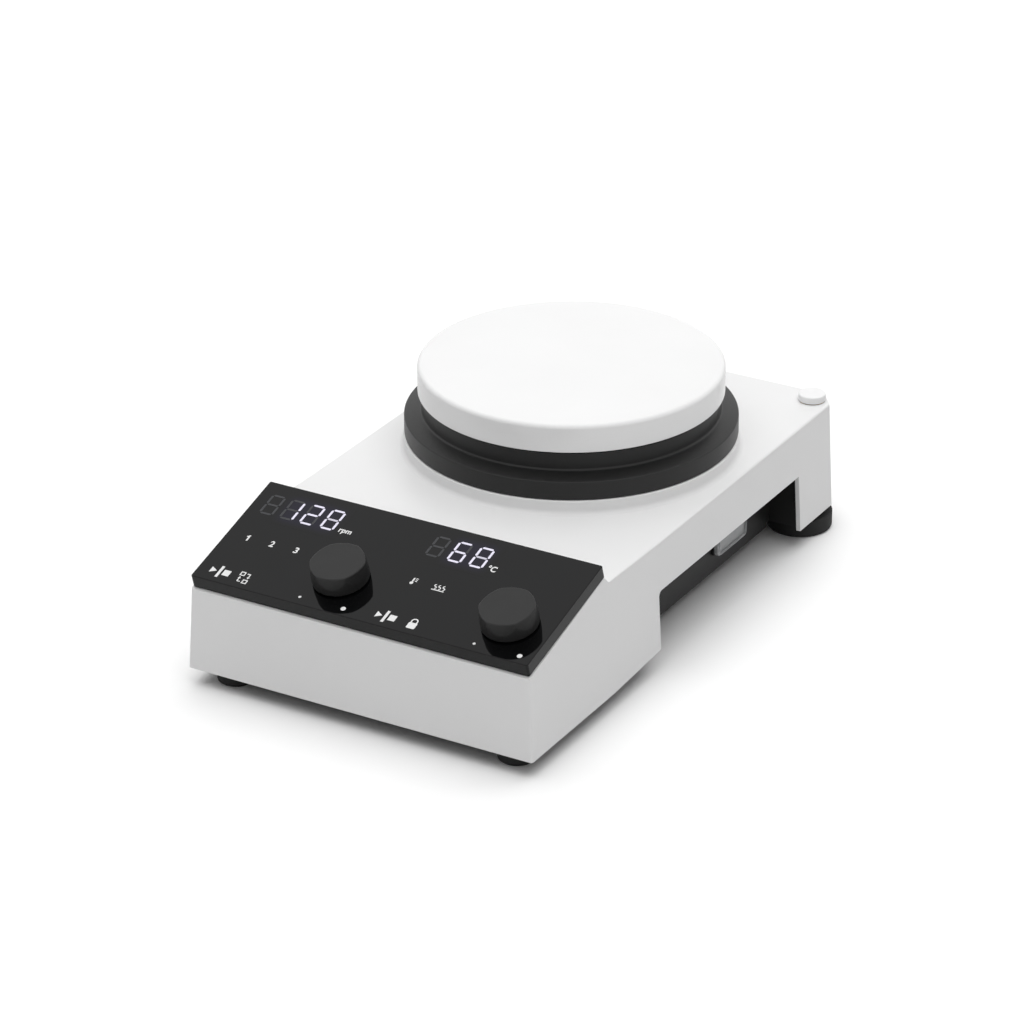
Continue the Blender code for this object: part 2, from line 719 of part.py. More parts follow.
collar_radius = plinth_radius - collar_edge
collar_neck_radius = plate_radius - collar_neck_edge
insulation_radius = plate_radius - insulation_edge
shield_radius = plate_radius - shield_edge
standoff_circle_radius = plate_radius - standoff_edge
element_outer_radius = standoff_circle_radius - standoff_radius - element_standoff_gap
element_inner_radius = element_outer_radius - element_width
plate_underside = plate_top_height - plate_thickness
shield_bottom = collar_neck_height + seat_gap
insulation_bottom = shield_bottom + shield_thickness + seat_gap
element_top = plate_underside - seat_gap


def standoff_places():
    for i in range(standoff_count):
        angle = math.radians(90) + 2 * math.pi * i / standoff_count
        yield (standoff_circle_radius * math.cos(angle), plate_axis_y + standoff_circle_radius * math.sin(angle))


def pierced_disc(name, radius, z_range, surface):
    """A disc on the plate's axis with holes for the standoffs and the sensor."""
    disc = cylinder(name, radius, z_range, large_ring_sides, surface, (0, plate_axis_y))
    low, high = z_range
    hole_range = (low - overrun, high + overrun)
    for place in standoff_places():
        cut(disc, cylinder("hole", standoff_radius + running_gap, hole_range, small_ring_sides, centre=place))
    cut(disc, cylinder("hole", sensor_radius + running_gap, hole_range, small_ring_sides,
                       centre=(0, plate_axis_y)))
    return disc


def heated_plate():
    edge = plate_edge_radius
    profile = [(0, plate_underside), (plate_radius - plate_rim_wall, plate_underside),
               (plate_radius - plate_rim_wall, plate_rim_height),
               (plate_radius - plate_lower_edge, plate_rim_height),
               (plate_radius, plate_rim_height + plate_lower_edge)]
    for step in range(plate_edge_steps + 1):
        angle = math.pi / 2 * step / plate_edge_steps
        profile.append((plate_radius - edge + edge * math.cos(angle),
                        plate_top_height - edge + edge * math.sin(angle)))
    profile.append((0, plate_top_height))
    lathe("heating_plate", profile, large_ring_sides, white_ceramic, (0, plate_axis_y, 0))

    element = tube("heating_element", element_outer_radius, element_inner_radius,
                   (element_top - element_thickness, element_top), medium_ring_sides, zinc_steel,
                   (0, plate_axis_y))
    cut(element, box("element_gap", (-element_gap_width / 2, element_gap_width / 2),
                     (plate_axis_y - element_outer_radius - overrun, plate_axis_y),
                     (plate_rim_height, plate_top_height)))
    pierced_disc("insulation_disc", insulation_radius,
                 (insulation_bottom, insulation_bottom + insulation_thickness), fibre_white)
    pierced_disc("heat_shield", shield_radius, (shield_bottom, shield_bottom + shield_thickness), bright_steel)
    for i, place in enumerate(standoff_places()):
        cylinder(f"plate_standoff_{i + 1}", standoff_radius, (plinth_top_height + seat_gap, element_top),
                 small_ring_sides, bright_steel, place)
    cylinder("plate_sensor", sensor_radius, (element_top - sensor_length, element_top), small_ring_sides,
             bright_steel, (0, plate_axis_y))

    bottom = plinth_top_height + seat_gap
    shoulder = collar_shoulder_height
    lathe("collar_ring", [
        (collar_radius - collar_wall, bottom),
        (collar_radius - collar_bottom_edge, bottom),
        (collar_radius, bottom + collar_bottom_edge),
        (collar_radius, shoulder - collar_shoulder_edge),
        (collar_radius - collar_shoulder_edge, shoulder),
        (collar_neck_radius, shoulder + collar_shoulder_rise),
        (collar_neck_radius, collar_neck_height),
        (collar_neck_radius - collar_neck_wall, collar_neck_height),
        (collar_neck_radius - collar_neck_wall, shoulder - collar_wall + collar_shoulder_rise),
        (collar_radius - collar_wall, shoulder - collar_wall),
    ], large_ring_sides, black_plastic, (0, plate_axis_y, 0))


# Stirring motor and magnet drive
bracket_length = 0.092
bracket_width = 0.066
bracket_thickness = 0.002
motor_wall = 0.0015
motor_height = 0.033
end_cap_thickness = 0.0026
end_cap_boss_radius = 0.010
end_cap_boss_rise = 0.0046
bearing_outer_radius = 0.0080
bearing_length = 0.005
shaft_radius = 0.003
rotor_radius = 0.015
rotor_length = 0.018
stator_can_gap = 0.0004
stator_length = 0.022
rotor_air_gap = 0.0006
holder_radius = 0.034
holder_thickness = 0.003
holder_hub_radius = 0.008
holder_cap_gap = 0.001          # between the motor's end cap and the turning holder
holder_cap_thickness = 0.001    # over the tip of the shaft
magnet_radius = 0.009
magnet_length = 0.008
magnet_offset = 0.022
magnet_top_clearance = 0.0016   # between the turning magnets and the heat shield

bracket_top = plinth_top_height - plinth_wall - seat_gap
bracket_bottom = bracket_top - bracket_thickness
cap_top = bracket_bottom - seat_gap
cap_bottom = cap_top - end_cap_thickness
can_top = cap_bottom - seat_gap
can_bottom = can_top - motor_height
shaft_bore = shaft_radius + running_gap
cap_boss_top = cap_top + end_cap_boss_rise
magnets_bottom = shield_bottom - magnet_top_clearance - magnet_length
holder_top = magnets_bottom - seat_gap
hub_top = holder_top - holder_thickness
holder_bottom_height = cap_boss_top + holder_cap_gap
shaft_tip_height = holder_top - holder_cap_thickness - seat_gap
stator_outer_radius = motor_radius - motor_wall - stator_can_gap


def motor():
    centre = (0, plate_axis_y)
    base = (0, plate_axis_y, 0)
    bearing_pocket = bearing_outer_radius + seat_gap
    bracket = box("motor_bracket", (-bracket_length / 2, bracket_length / 2),
                  (plate_axis_y - bracket_width / 2, plate_axis_y + bracket_width / 2),
                  (bracket_bottom, bracket_top), zinc_steel)
    cut(bracket, cylinder("boss_hole", end_cap_boss_radius + fit_gap,
                          (bracket_bottom - overrun, bracket_top + overrun), small_ring_sides, centre=centre))

    pocket_floor = can_bottom + motor_wall
    seat_top = pocket_floor + bearing_length
    seat_radius = bearing_pocket + motor_wall
    lathe("motor_can", [
        (0, can_bottom), (motor_radius, can_bottom), (motor_radius, can_top),
        (motor_radius - motor_wall, can_top), (motor_radius - motor_wall, pocket_floor),
        (seat_radius, pocket_floor), (seat_radius, seat_top), (bearing_pocket, seat_top),
        (bearing_pocket, pocket_floor), (0, pocket_floor),
    ], medium_ring_sides, core_steel, base)
    lathe("motor_end_cap", [
        (bearing_pocket, cap_bottom), (motor_radius, cap_bottom), (motor_radius, cap_top),
        (end_cap_boss_radius, cap_top), (end_cap_boss_radius, cap_boss_top),
        (shaft_bore, cap_boss_top), (shaft_bore, cap_boss_top - motor_wall),
        (bearing_pocket, cap_boss_top - motor_wall),
    ], medium_ring_sides, aluminium, base)
    lower_bearing = pocket_floor + seat_gap
    upper_bearing = cap_boss_top - motor_wall - seat_gap - bearing_length
    for name, low in (("lower_motor_bearing", lower_bearing), ("upper_motor_bearing", upper_bearing)):
        tube(name, bearing_outer_radius, shaft_bore, (low, low + bearing_length), small_ring_sides,
             bright_steel, centre)

    middle = (can_bottom + can_top) / 2
    tube("motor_stator", stator_outer_radius, rotor_radius + rotor_air_gap,
         (middle - stator_length / 2, middle + stator_length / 2), medium_ring_sides, copper_winding, centre)
    core = tube("rotor_core", rotor_radius, shaft_radius + seat_gap,
                (middle - rotor_length / 2, middle + rotor_length / 2), small_ring_sides, core_steel, centre)
    shaft = cylinder("motor_shaft", shaft_radius, (lower_bearing, shaft_tip_height), small_ring_sides,
                     bright_steel, centre)
    holder = lathe("magnet_holder", [
        (shaft_radius + seat_gap, holder_bottom_height), (holder_hub_radius, holder_bottom_height),
        (holder_hub_radius, hub_top), (holder_radius, hub_top), (holder_radius, holder_top),
        (0, holder_top), (0, shaft_tip_height + seat_gap),
        (shaft_radius + seat_gap, shaft_tip_height + seat_gap),
    ], medium_ring_sides, aluminium, base)
    origin = (0, plate_axis_y, hub_top)
    for piece in (core, shaft, holder):
        set_origin(piece, origin)
    for side_name, side in sides:
        magnet = cylinder(f"drive_magnet_{side_name}", magnet_radius,
                          (magnets_bottom, magnets_bottom + magnet_length), small_ring_sides,
                          magnet_coat, (side * magnet_offset, plate_axis_y))
        set_origin(magnet, origin)


# Displays, encoders and knobs, in the panel's own frame: X across, Y up the slope, Z out of the panel
display_size = (0.038, 0.013)
speed_display_shares = (-0.70, 0.542)           # of half the panel, as are the three below
temperature_display_shares = (0.2515, 0.558)
speed_knob_shares = (-0.233, -0.372)
temperature_knob_shares = (0.766, -0.378)
display_window_depth = 0.004    # pocket under the panel that the display stands in
display_board_side_inset = 0.0045
display_board_end_inset = 0.0092
display_board_depth = 0.0133    # top of the board under the panel's top face
panel_post_radius = 0.003
panel_post_shares = ((-0.24, 0.80), (0.70, 0.80), (-0.91, -0.80), (0.25, -0.80))  # of half the board
encoder_size = (0.0124, 0.0132)
encoder_bushing_radius = 0.0042
encoder_bushing_rise = 0.0042   # top of the bushing above the panel
encoder_shaft_radius = 0.003
encoder_cavity_radius = 0.0046
encoder_cavity_top = 0.0082     # depths under the panel's top face
encoder_cavity_bottom = 0.0124
push_plate_radius = 0.0040
push_plate_thickness = 0.0010
push_travel = 0.0005
nut_radius = 0.0068
nut_height = 0.0020
knob_radius = 0.0123
knob_top_height = 0.0095
knob_lift = 0.0009              # between the panel and the knob's skirt
knob_edge = 0.0008
knob_scoop_foot_height = 0.0029     # the finger scoops run out here
knob_scoop_middle_height = 0.0056
knob_hollow_radius = 0.0088
knob_hollow_top = 0.0050
knob_shaft_top = 0.0078
knob_scoops = 6
knob_scoop_depth_share = 0.06   # of the radius, at the top
knob_scoop_half_angle = math.radians(29)
knob_scoop_turn = math.radians(-75)     # one scoop faces this way
knob_sides = 42

half_panel_length = panel_length / 2
display_board_half_width = panel_half_width - display_board_side_inset
display_board_half_length = half_panel_length - display_board_end_inset


def panel_place(shares):
    return (shares[0] * panel_half_width, shares[1] * half_panel_length)


def knob_grip(angle, height):
    """Finger scoops round the side of a knob, deepest at its top and run out above its skirt."""
    fade = (height - knob_scoop_foot_height) / (knob_top_height - knob_scoop_foot_height)
    limit = math.cos(knob_scoops / 2 * knob_scoop_half_angle)
    scoop = (abs(math.cos(knob_scoops / 2 * (angle - knob_scoop_turn))) - limit) / (1 - limit)
    return 1 - knob_scoop_depth_share * max(fade, 0) * max(scoop, 0)


def hexagon(radius):
    return [(radius * math.cos(math.pi / 3 * i), radius * math.sin(math.pi / 3 * i)) for i in range(6)]


def in_panel_frame(piece, frame, place):
    piece.parent = frame
    piece.location = (*place, 0)


def control_knob(name, place, frame):
    """One push-and-turn encoder with its shaft, push plate, nut and knob."""
    board_top = -display_board_depth
    width, length = encoder_size
    top = -panel_thickness - seat_gap
    encoder = box(f"{name}_encoder", (-width / 2, width / 2), (-length / 2, length / 2),
                  (board_top + seat_gap, top), black_plastic)
    join(encoder, cylinder("bushing", encoder_bushing_radius, (top - seat_gap, encoder_bushing_rise),
                           small_ring_sides))
    cut(encoder, cylinder("bore", encoder_shaft_radius + running_gap,
                          (-encoder_cavity_top - seat_gap, encoder_bushing_rise + overrun), small_ring_sides))
    cut(encoder, cylinder("cavity", encoder_cavity_radius, (-encoder_cavity_bottom, -encoder_cavity_top),
                          small_ring_sides))
    plate_top = -encoder_cavity_bottom + running_gap + push_travel + push_plate_thickness
    plate = cylinder(f"{name}_push_plate", push_plate_radius, (plate_top - push_plate_thickness, plate_top),
                     small_ring_sides, bright_steel)
    shaft = cylinder(f"{name}_shaft", encoder_shaft_radius, (plate_top + seat_gap, knob_shaft_top),
                     small_ring_sides, bright_steel)
    nut = prism(f"{name}_nut", hexagon(nut_radius), seat_gap, seat_gap + nut_height, zinc_steel)
    cut(nut, cylinder("nut_hole", encoder_bushing_radius + seat_gap, (-overrun, overrun), small_ring_sides))
    bore = encoder_shaft_radius + seat_gap
    knob = lathe(f"{name}_knob", [
        (knob_radius, knob_lift), (knob_radius, knob_scoop_foot_height),
        (knob_radius, knob_scoop_middle_height), (knob_radius, knob_top_height - knob_edge),
        (knob_radius - knob_edge, knob_top_height), (0, knob_top_height), (0, knob_lift),
    ], knob_sides, knob_plastic, grip=knob_grip)
    cut(knob, cylinder("knob_hollow", knob_hollow_radius, (knob_lift - overrun, knob_hollow_top), knob_sides))
    cut(knob, cylinder("knob_bore", bore, (knob_lift, knob_shaft_top + seat_gap), small_ring_sides))
    for piece in (encoder, plate, shaft, nut, knob):
        in_panel_frame(piece, frame, place)


def control_panel(frame):
    x = panel_half_width
    y = half_panel_length
    radius = panel_corner_radius
    outline = []
    for corner_x, corner_y, start in ((x, y, 0), (-x, y, 90), (-x, -y, 180), (x, -y, 270)):
        middle_x = corner_x - math.copysign(radius, corner_x)
        middle_y = corner_y - math.copysign(radius, corner_y)
        for step in range(corner_steps + 1):
            angle = math.radians(start) + math.pi / 2 * step / corner_steps
            outline.append((middle_x + radius * math.cos(angle), middle_y + radius * math.sin(angle)))
    panel = prism("control_panel", outline, -panel_thickness, 0, black_panel)
    width, length = display_size
    speed_display_place = panel_place(speed_display_shares)
    temperature_display_place = panel_place(temperature_display_shares)
    speed_knob_place = panel_place(speed_knob_shares)
    temperature_knob_place = panel_place(temperature_knob_shares)
    for px, py in (speed_display_place, temperature_display_place):
        cut(panel, box("pocket", (px - width / 2 - seat_gap, px + width / 2 + seat_gap),
                       (py - length / 2 - seat_gap, py + length / 2 + seat_gap),
                       (-panel_thickness - overrun, -panel_thickness + display_window_depth)))
    for place in (speed_knob_place, temperature_knob_place):
        cut(panel, cylinder("bushing_hole", encoder_bushing_radius + seat_gap,
                            (-panel_thickness - overrun, overrun), small_ring_sides, centre=place))
    for share_x, share_y in panel_post_shares:
        place = (share_x * display_board_half_width, share_y * display_board_half_length)
        join(panel, cylinder("panel_post", panel_post_radius,
                             (-display_board_depth + seat_gap, -panel_thickness / 2), screw_sides, centre=place))
    in_panel_frame(panel, frame, (0, 0))

    for name, place in (("speed_display", speed_display_place),
                        ("temperature_display", temperature_display_place)):
        display = box(name, (-width / 2, width / 2), (-length / 2, length / 2),
                      (-display_board_depth + seat_gap, -panel_thickness + display_window_depth - seat_gap),
                      display_face)
        in_panel_frame(display, frame, place)
    board = box("display_board", (-display_board_half_width, display_board_half_width),
                (-display_board_half_length, display_board_half_length),
                (-display_board_depth - board_thickness, -display_board_depth), board_green)
    in_panel_frame(board, frame, (0, 0))
    control_knob("speed", speed_knob_place, frame)
    control_knob("temperature", temperature_knob_place, frame)


# Power inlet with its fuse drawer, and the socket of the temperature probe
inlet_flange_thickness = 0.002
inlet_wall = 0.002
plug_cavity_tall = 0.0165
plug_cavity_depth = 0.017
fuse_cavity_tall = 0.0078
fuse_drawer_length = 0.018
inlet_blade_size = (0.002, 0.014, 0.004)
inlet_blade_offset = 0.007
probe_socket_depth = 0.012
probe_socket_bore = 0.0042
probe_socket_floor = 0.002


def rear_sockets():
    face = half_length - seat_gap
    low = inlet_height - inlet_tall / 2
    high = inlet_height + inlet_tall / 2
    left = inlet_x - inlet_width / 2
    right = inlet_x + inlet_width / 2
    inlet = box("power_inlet", (left, right), (half_length - inlet_depth, face), (low, high),
                black_plastic)
    flange_back = half_length - shell_wall - seat_gap
    join(inlet, box("flange", (left - inlet_flange, right + inlet_flange),
                    (flange_back - inlet_flange_thickness, flange_back),
                    (low - inlet_flange, high + inlet_flange)))
    fuse_top = high - inlet_wall
    fuse_low = fuse_top - fuse_cavity_tall
    cut(inlet, box("fuse_cavity", (left + inlet_wall, right - inlet_wall),
                   (face - fuse_drawer_length - running_gap, face + overrun), (fuse_low, fuse_top)))
    plug_low = low + inlet_wall
    cut(inlet, box("plug_cavity", (left + inlet_wall, right - inlet_wall),
                   (face - plug_cavity_depth, face + overrun), (plug_low, plug_low + plug_cavity_tall)))
    blade_width, blade_length, blade_tall = inlet_blade_size
    blade_middle = plug_low + plug_cavity_tall / 2
    for i in (-1, 0, 1):
        x = inlet_x + i * inlet_blade_offset
        z = blade_middle + (blade_tall / 2 if i == 0 else -blade_tall / 2)
        join(inlet, box("blade", (x - blade_width / 2, x + blade_width / 2),
                        (face - plug_cavity_depth - inlet_wall, face - plug_cavity_depth + blade_length),
                        (z - blade_tall / 2, z + blade_tall / 2)))
    drawer = box("fuse_drawer", (left + inlet_wall + running_gap, right - inlet_wall - running_gap),
                 (face - fuse_drawer_length, face), (fuse_low + running_gap, fuse_top - running_gap),
                 black_plastic)
    set_origin(drawer, (inlet_x, face, (fuse_low + fuse_top) / 2))

    lathe("probe_socket", [
        (0, face - probe_socket_depth), (probe_socket_radius, face - probe_socket_depth),
        (probe_socket_radius, face), (probe_socket_bore, face),
        (probe_socket_bore, face - probe_socket_depth + probe_socket_floor),
        (0, face - probe_socket_depth + probe_socket_floor),
    ], small_ring_sides, bright_steel, (probe_socket_x, 0, probe_socket_height), "Y")


# Rocker and splash cover of the mains switch
switch_wall = 0.0012
rocker_pivot_depth = 0.0045     # pivot behind the outer face of the bezel
rocker_crown = 0.0042           # outer face of the rocker beyond the pivot, at its ends
rocker_valley = 0.0030          # and in the middle
rocker_underside = 0.0022
rocker_tilt = math.radians(7)
cover_rim = 0.0002
cover_wall = 0.0008
cover_clear = 0.0012            # inner face of the cover beyond the bezel


def mains_switch():
    inner = tray_waist_half_width + seat_gap
    outer = inner + switch_bezel_thickness
    bezel_y = (switch_y - switch_bezel_length / 2, switch_y + switch_bezel_length / 2)
    bezel_z = (switch_height - switch_bezel_tall / 2, switch_height + switch_bezel_tall / 2)
    frame = box("switch_frame", (inner, outer), bezel_y, bezel_z, black_plastic)
    join(frame, box("switch_body", (inner - switch_body_depth, inner + switch_bezel_thickness / 2),
                    (switch_y - switch_body_length / 2, switch_y + switch_body_length / 2),
                    (switch_height - switch_body_tall / 2, switch_height + switch_body_tall / 2)))
    well_length = switch_body_length - 2 * switch_wall
    well_tall = switch_body_tall - 2 * switch_wall
    well_floor = outer - 2 * rocker_pivot_depth - rocker_underside
    cut(frame, box("rocker_well", (well_floor, outer + overrun),
                   (switch_y - well_length / 2, switch_y + well_length / 2),
                   (switch_height - well_tall / 2, switch_height + well_tall / 2)))

    reach = well_length / 2 - switch_wall / 2 - running_gap
    tall = well_tall / 2 - running_gap
    outline = [(-rocker_underside, -reach), (rocker_crown, -reach), (rocker_valley, 0),
               (rocker_crown, reach), (-rocker_underside, reach)]
    rocker = prism("power_rocker", outline, -tall, tall, black_plastic)
    rocker.location = (outer - rocker_pivot_depth, switch_y, switch_height)
    rocker.rotation_euler = (0, 0, rocker_tilt)

    cover_inner = outer + cover_clear
    cover_y = (bezel_y[0] + cover_rim, bezel_y[1] - cover_rim)
    cover_z = (bezel_z[0] + cover_rim, bezel_z[1] - cover_rim)
    cover = box("splash_cover", (outer + seat_gap, cover_inner + cover_wall), cover_y, cover_z, clear_cover)
    cut(cover, box("cover_hollow", (outer - overrun, cover_inner),
                   (cover_y[0] + cover_wall, cover_y[1] - cover_wall),
                   (cover_z[0] + cover_wall, cover_z[1] - cover_wall)))


upper_housing()
base_tray()
power_electronics()
feet_and_screws()
rod_socket()
heated_plate()
motor()
rear_sockets()
mains_switch()
panel_frame = bpy.data.objects.new("panel_frame", None)
bpy.context.scene.collection.objects.link(panel_frame)
panel_frame.location = panel_centre
panel_frame.rotation_euler = (panel_slope, 0, 0)
control_panel(panel_frame)
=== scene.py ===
# %% [markdown]
# # A hotplate stirrer
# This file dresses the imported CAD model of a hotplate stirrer. The CAD model says where each piece is and
# what moves. Here the pieces that show get their fine shape and every piece gets its finish.
# The CAD model is in metres, with Z up and the instrument's front towards -Y.

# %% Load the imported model
import json
import math

import bmesh
import bpy
from mathutils import Matrix, Vector


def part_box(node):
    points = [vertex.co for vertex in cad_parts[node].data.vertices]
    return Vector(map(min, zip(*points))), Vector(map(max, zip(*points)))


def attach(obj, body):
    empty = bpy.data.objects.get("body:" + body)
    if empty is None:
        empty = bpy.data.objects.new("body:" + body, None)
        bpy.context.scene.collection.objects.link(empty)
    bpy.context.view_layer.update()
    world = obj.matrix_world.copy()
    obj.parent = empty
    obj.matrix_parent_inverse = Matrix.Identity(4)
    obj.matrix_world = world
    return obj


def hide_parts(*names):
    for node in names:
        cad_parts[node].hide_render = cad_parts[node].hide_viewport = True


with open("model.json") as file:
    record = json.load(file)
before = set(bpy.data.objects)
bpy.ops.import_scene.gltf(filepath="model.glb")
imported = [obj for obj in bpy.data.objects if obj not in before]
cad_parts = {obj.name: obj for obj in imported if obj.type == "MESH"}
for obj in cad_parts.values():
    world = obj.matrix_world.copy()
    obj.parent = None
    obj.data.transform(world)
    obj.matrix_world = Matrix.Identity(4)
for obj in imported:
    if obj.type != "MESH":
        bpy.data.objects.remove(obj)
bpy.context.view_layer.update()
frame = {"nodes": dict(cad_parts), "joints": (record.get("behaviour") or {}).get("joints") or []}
nodes = frame["nodes"]
scene = bpy.context.scene
mm = 0.001
print("CAD nodes:", len(nodes))

# %% [markdown]
# ## The camera
# The photograph was taken with a long lens from the front right, a little above the bench. A long lens far
# away keeps parallel edges nearly parallel. The camera looks at a point inside the instrument, and its turn
# and height round that point are given as angles, as a photographer would set a tripod.

# %% Place the camera
camera_turn = math.radians(30.51)       # from straight ahead towards the right-hand side
camera_rise = math.radians(26.02)
camera_roll = math.radians(-0.40)
camera_distance = 1.9
camera_target = Vector((-7.33, 0.24, 40)) * mm
sensor_width = 36
lens_length = 152.9

to_camera = Vector((math.cos(camera_rise) * math.sin(camera_turn),
                    -math.cos(camera_rise) * math.cos(camera_turn),
                    math.sin(camera_rise)))
level_right = Vector((math.cos(camera_turn), math.sin(camera_turn), 0))
level_up = to_camera.cross(level_right)
view_right = level_right * math.cos(camera_roll) + level_up * math.sin(camera_roll)
view_up = level_up * math.cos(camera_roll) - level_right * math.sin(camera_roll)
camera_data = bpy.data.cameras.new("studio_camera")
camera_data.lens = lens_length
camera_data.sensor_width = sensor_width
camera_data.clip_end = 50
camera = bpy.data.objects.new("studio_camera", camera_data)
scene.collection.objects.link(camera)
camera.matrix_world = Matrix((view_right, view_up, to_camera)).transposed().to_4x4()
camera.location = camera_target + to_camera * camera_distance
scene.camera = camera
print("camera at", [round(value, 3) for value in camera.location])

# %% [markdown]
# ## Shader maths
# A material is a net of nodes. Wiring each one by hand is slow to read, so this class stands for one socket:
# sums and products of sockets are written as such, and each adds its Math node. Any other node comes from
# `add`, which sets the node's settings first and then its sockets, by value or by link.

# %% A socket that can be used in sums and products
class Wire:
    def __init__(self, tree, socket=None):
        self.tree = tree
        self.socket = socket

    def add(self, kind, settings=None, inputs=None, output=0):
        node = self.tree.nodes.new(kind)
        for name, value in (settings or {}).items():
            if name == "stops":
                ramp = node.color_ramp.elements
                while len(ramp) < len(value):
                    ramp.new(1)
                for element, (place, shade) in zip(ramp, value):
                    element.position = place
                    element.color = (shade, shade, shade, 1)
            else:
                setattr(node, name, value)
        for name, value in (inputs or {}).items():
            if isinstance(value, Wire):
                self.tree.links.new(value.socket, node.inputs[name])
            else:
                node.inputs[name].default_value = value
        return Wire(self.tree, node.outputs[output] if node.outputs else None)

    def maths(self, operation, first, second):
        return self.add("ShaderNodeMath", {"operation": operation}, {0: first, 1: second})

    def __add__(self, other):
        return self.maths("ADD", self, other)

    def __sub__(self, other):
        return self.maths("SUBTRACT", self, other)

    def __rsub__(self, other):
        return self.maths("SUBTRACT", other, self)

    def __mul__(self, other):
        return self.maths("MULTIPLY", self, other)

    __radd__ = __add__
    __rmul__ = __mul__

    def between(self, low, high):
        """0 below low, 1 above high and smooth in between."""
        return self.add("ShaderNodeMapRange", {"interpolation_type": "SMOOTHSTEP"},
                        {"Value": self, "From Min": low, "From Max": high})

    def part(self, axis):
        """The X, Y or Z of a vector."""
        return self.add("ShaderNodeSeparateXYZ", None, {"Vector": self}, axis)

    def colours(self, first, second):
        """From the first colour at 0 to the second at 1."""
        return self.add("ShaderNodeMix", {"data_type": "RGBA"},
                        {"Factor": self, 6: (*first, 1), 7: (*second, 1)}, 2)

    def noise(self, size, detail=2, distortion=0):
        """Soft blotches of about that size in metres, at this place vector."""
        return self.add("ShaderNodeTexNoise", None,
                        {"Vector": self, "Scale": 1 / size, "Detail": detail, "Distortion": distortion})

    def bump(self, depth, strength=1):
        """A surface normal for this height, where 1 stands that many metres proud."""
        return self.add("ShaderNodeBump", None, {"Strength": strength, "Distance": depth, "Height": self})

    def stretched(self, x, y, z):
        """A place vector squeezed along its axes, which draws a pattern out along the small ones."""
        return self.add("ShaderNodeVectorMath", {"operation": "MULTIPLY"}, {0: self, 1: (x, y, z)})


# %% One material for each slot of the record
finishes = {}


def make_finish(name, constants, surface):
    """A procedural material. surface(place) gives the sockets that vary over the piece."""
    material = bpy.data.materials.new(name + "_finish")
    material.use_nodes = True
    material.node_tree.nodes.clear()
    start = Wire(material.node_tree)
    place = start.add("ShaderNodeTexCoord", output="Object")
    shader = start.add("ShaderNodeBsdfPrincipled", None, {**constants, **surface(place)})
    start.add("ShaderNodeOutputMaterial", None, {"Surface": shader})
    finishes[name] = material
    return material


def shade(value, tint=(1, 1, 1)):
    return tuple(value * share for share in tint)


# %% [markdown]
# ## Paint, enamel and plastics
# The white shell is powder coated, which leaves a fine orange-peel skin. The plate has smooth, hard enamel
# with a few faint speckles. The black pieces are moulded plastic with the fine grain of a spark-eroded mould,
# and the panel is polished acrylic. Each gets its tone, gloss and relief from noise in the part's own space,
# at the size that the real grain has.

# %% White finishes
def powder_coat(place):
    peel = place.noise(1.6 * mm, 3)
    cloud = place.noise(60 * mm, 2)
    return {
        "Base Color": cloud.colours(shade(0.79), shade(0.83)),
        "Roughness": peel * 0.08 + 0.34,
        "Normal": peel.bump(0.03 * mm),
    }


def enamel(place):
    cloud = place.noise(45 * mm, 3)
    speckle = place.noise(0.7 * mm, 1).between(0.70, 0.74)
    ripple = place.noise(9 * mm, 2)
    return {
        "Base Color": (cloud - speckle * 0.6).colours(shade(0.85), shade(0.90)),
        "Roughness": cloud * 0.10 + 0.12,
        "Normal": (ripple + speckle * 0.1).bump(0.02 * mm),
    }


def moulded_white(place):
    grain = place.noise(0.5 * mm, 3)
    return {
        "Base Color": place.noise(5 * mm, 2).colours(shade(0.83), shade(0.89)),
        "Roughness": grain * 0.12 + 0.36,
        "Normal": grain.bump(0.012 * mm),
    }


make_finish("white_paint", {"IOR": 1.5}, powder_coat)
make_finish("white_ceramic", {"IOR": 1.5}, enamel)
make_finish("white_plastic", {"IOR": 1.46}, moulded_white)

# %% Black finishes
def moulded_black(place):
    grain = place.noise(0.45 * mm, 3)
    cloud = place.noise(25 * mm, 2)
    return {
        "Base Color": cloud.colours(shade(0.007), shade(0.010)),
        "Roughness": grain * 0.14 + 0.36,
        "Normal": grain.bump(0.010 * mm),
    }


def polished_acrylic(place):
    haze = place.noise(18 * mm, 4)
    scratch = place.stretched(0.12, 1, 1).noise(0.35 * mm, 2).between(0.70, 0.78)
    return {
        "Base Color": haze.colours((0.0016, 0.0017, 0.0019), (0.0030, 0.0031, 0.0034)),
        "Roughness": haze * 0.04 + scratch * 0.05 + 0.03,
    }


def soft_touch(place):
    grain = place.noise(0.35 * mm, 3)
    cloud = place.noise(8 * mm, 2)
    return {
        "Base Color": cloud.colours(shade(0.011), shade(0.016)),
        "Roughness": grain * 0.12 + 0.42,
        "Normal": grain.bump(0.012 * mm),
    }


def rubber(place):
    grain = place.noise(0.6 * mm, 4)
    dust = place.noise(6 * mm, 3).between(0.5, 0.9)
    return {
        "Base Color": dust.colours(shade(0.007), shade(0.014)),
        "Roughness": grain * 0.15 + 0.62,
        "Normal": grain.bump(0.03 * mm),
    }


make_finish("black_plastic", {"IOR": 1.5, "Specular IOR Level": 0.36}, moulded_black)
make_finish("black_panel", {"IOR": 1.49, "Specular IOR Level": 0.26}, polished_acrylic)
make_finish("knob_plastic", {"IOR": 1.5, "Specular IOR Level": 0.36}, soft_touch)
make_finish("black_rubber", {"IOR": 1.5, "Specular IOR Level": 0.4}, rubber)

# %% Display glass and the clear cover
def display_glass(place):
    haze = place.noise(4 * mm, 2)
    return {
        "Base Color": haze.colours((0.010, 0.011, 0.014), (0.016, 0.017, 0.021)),
        "Roughness": haze * 0.08 + 0.22,
    }


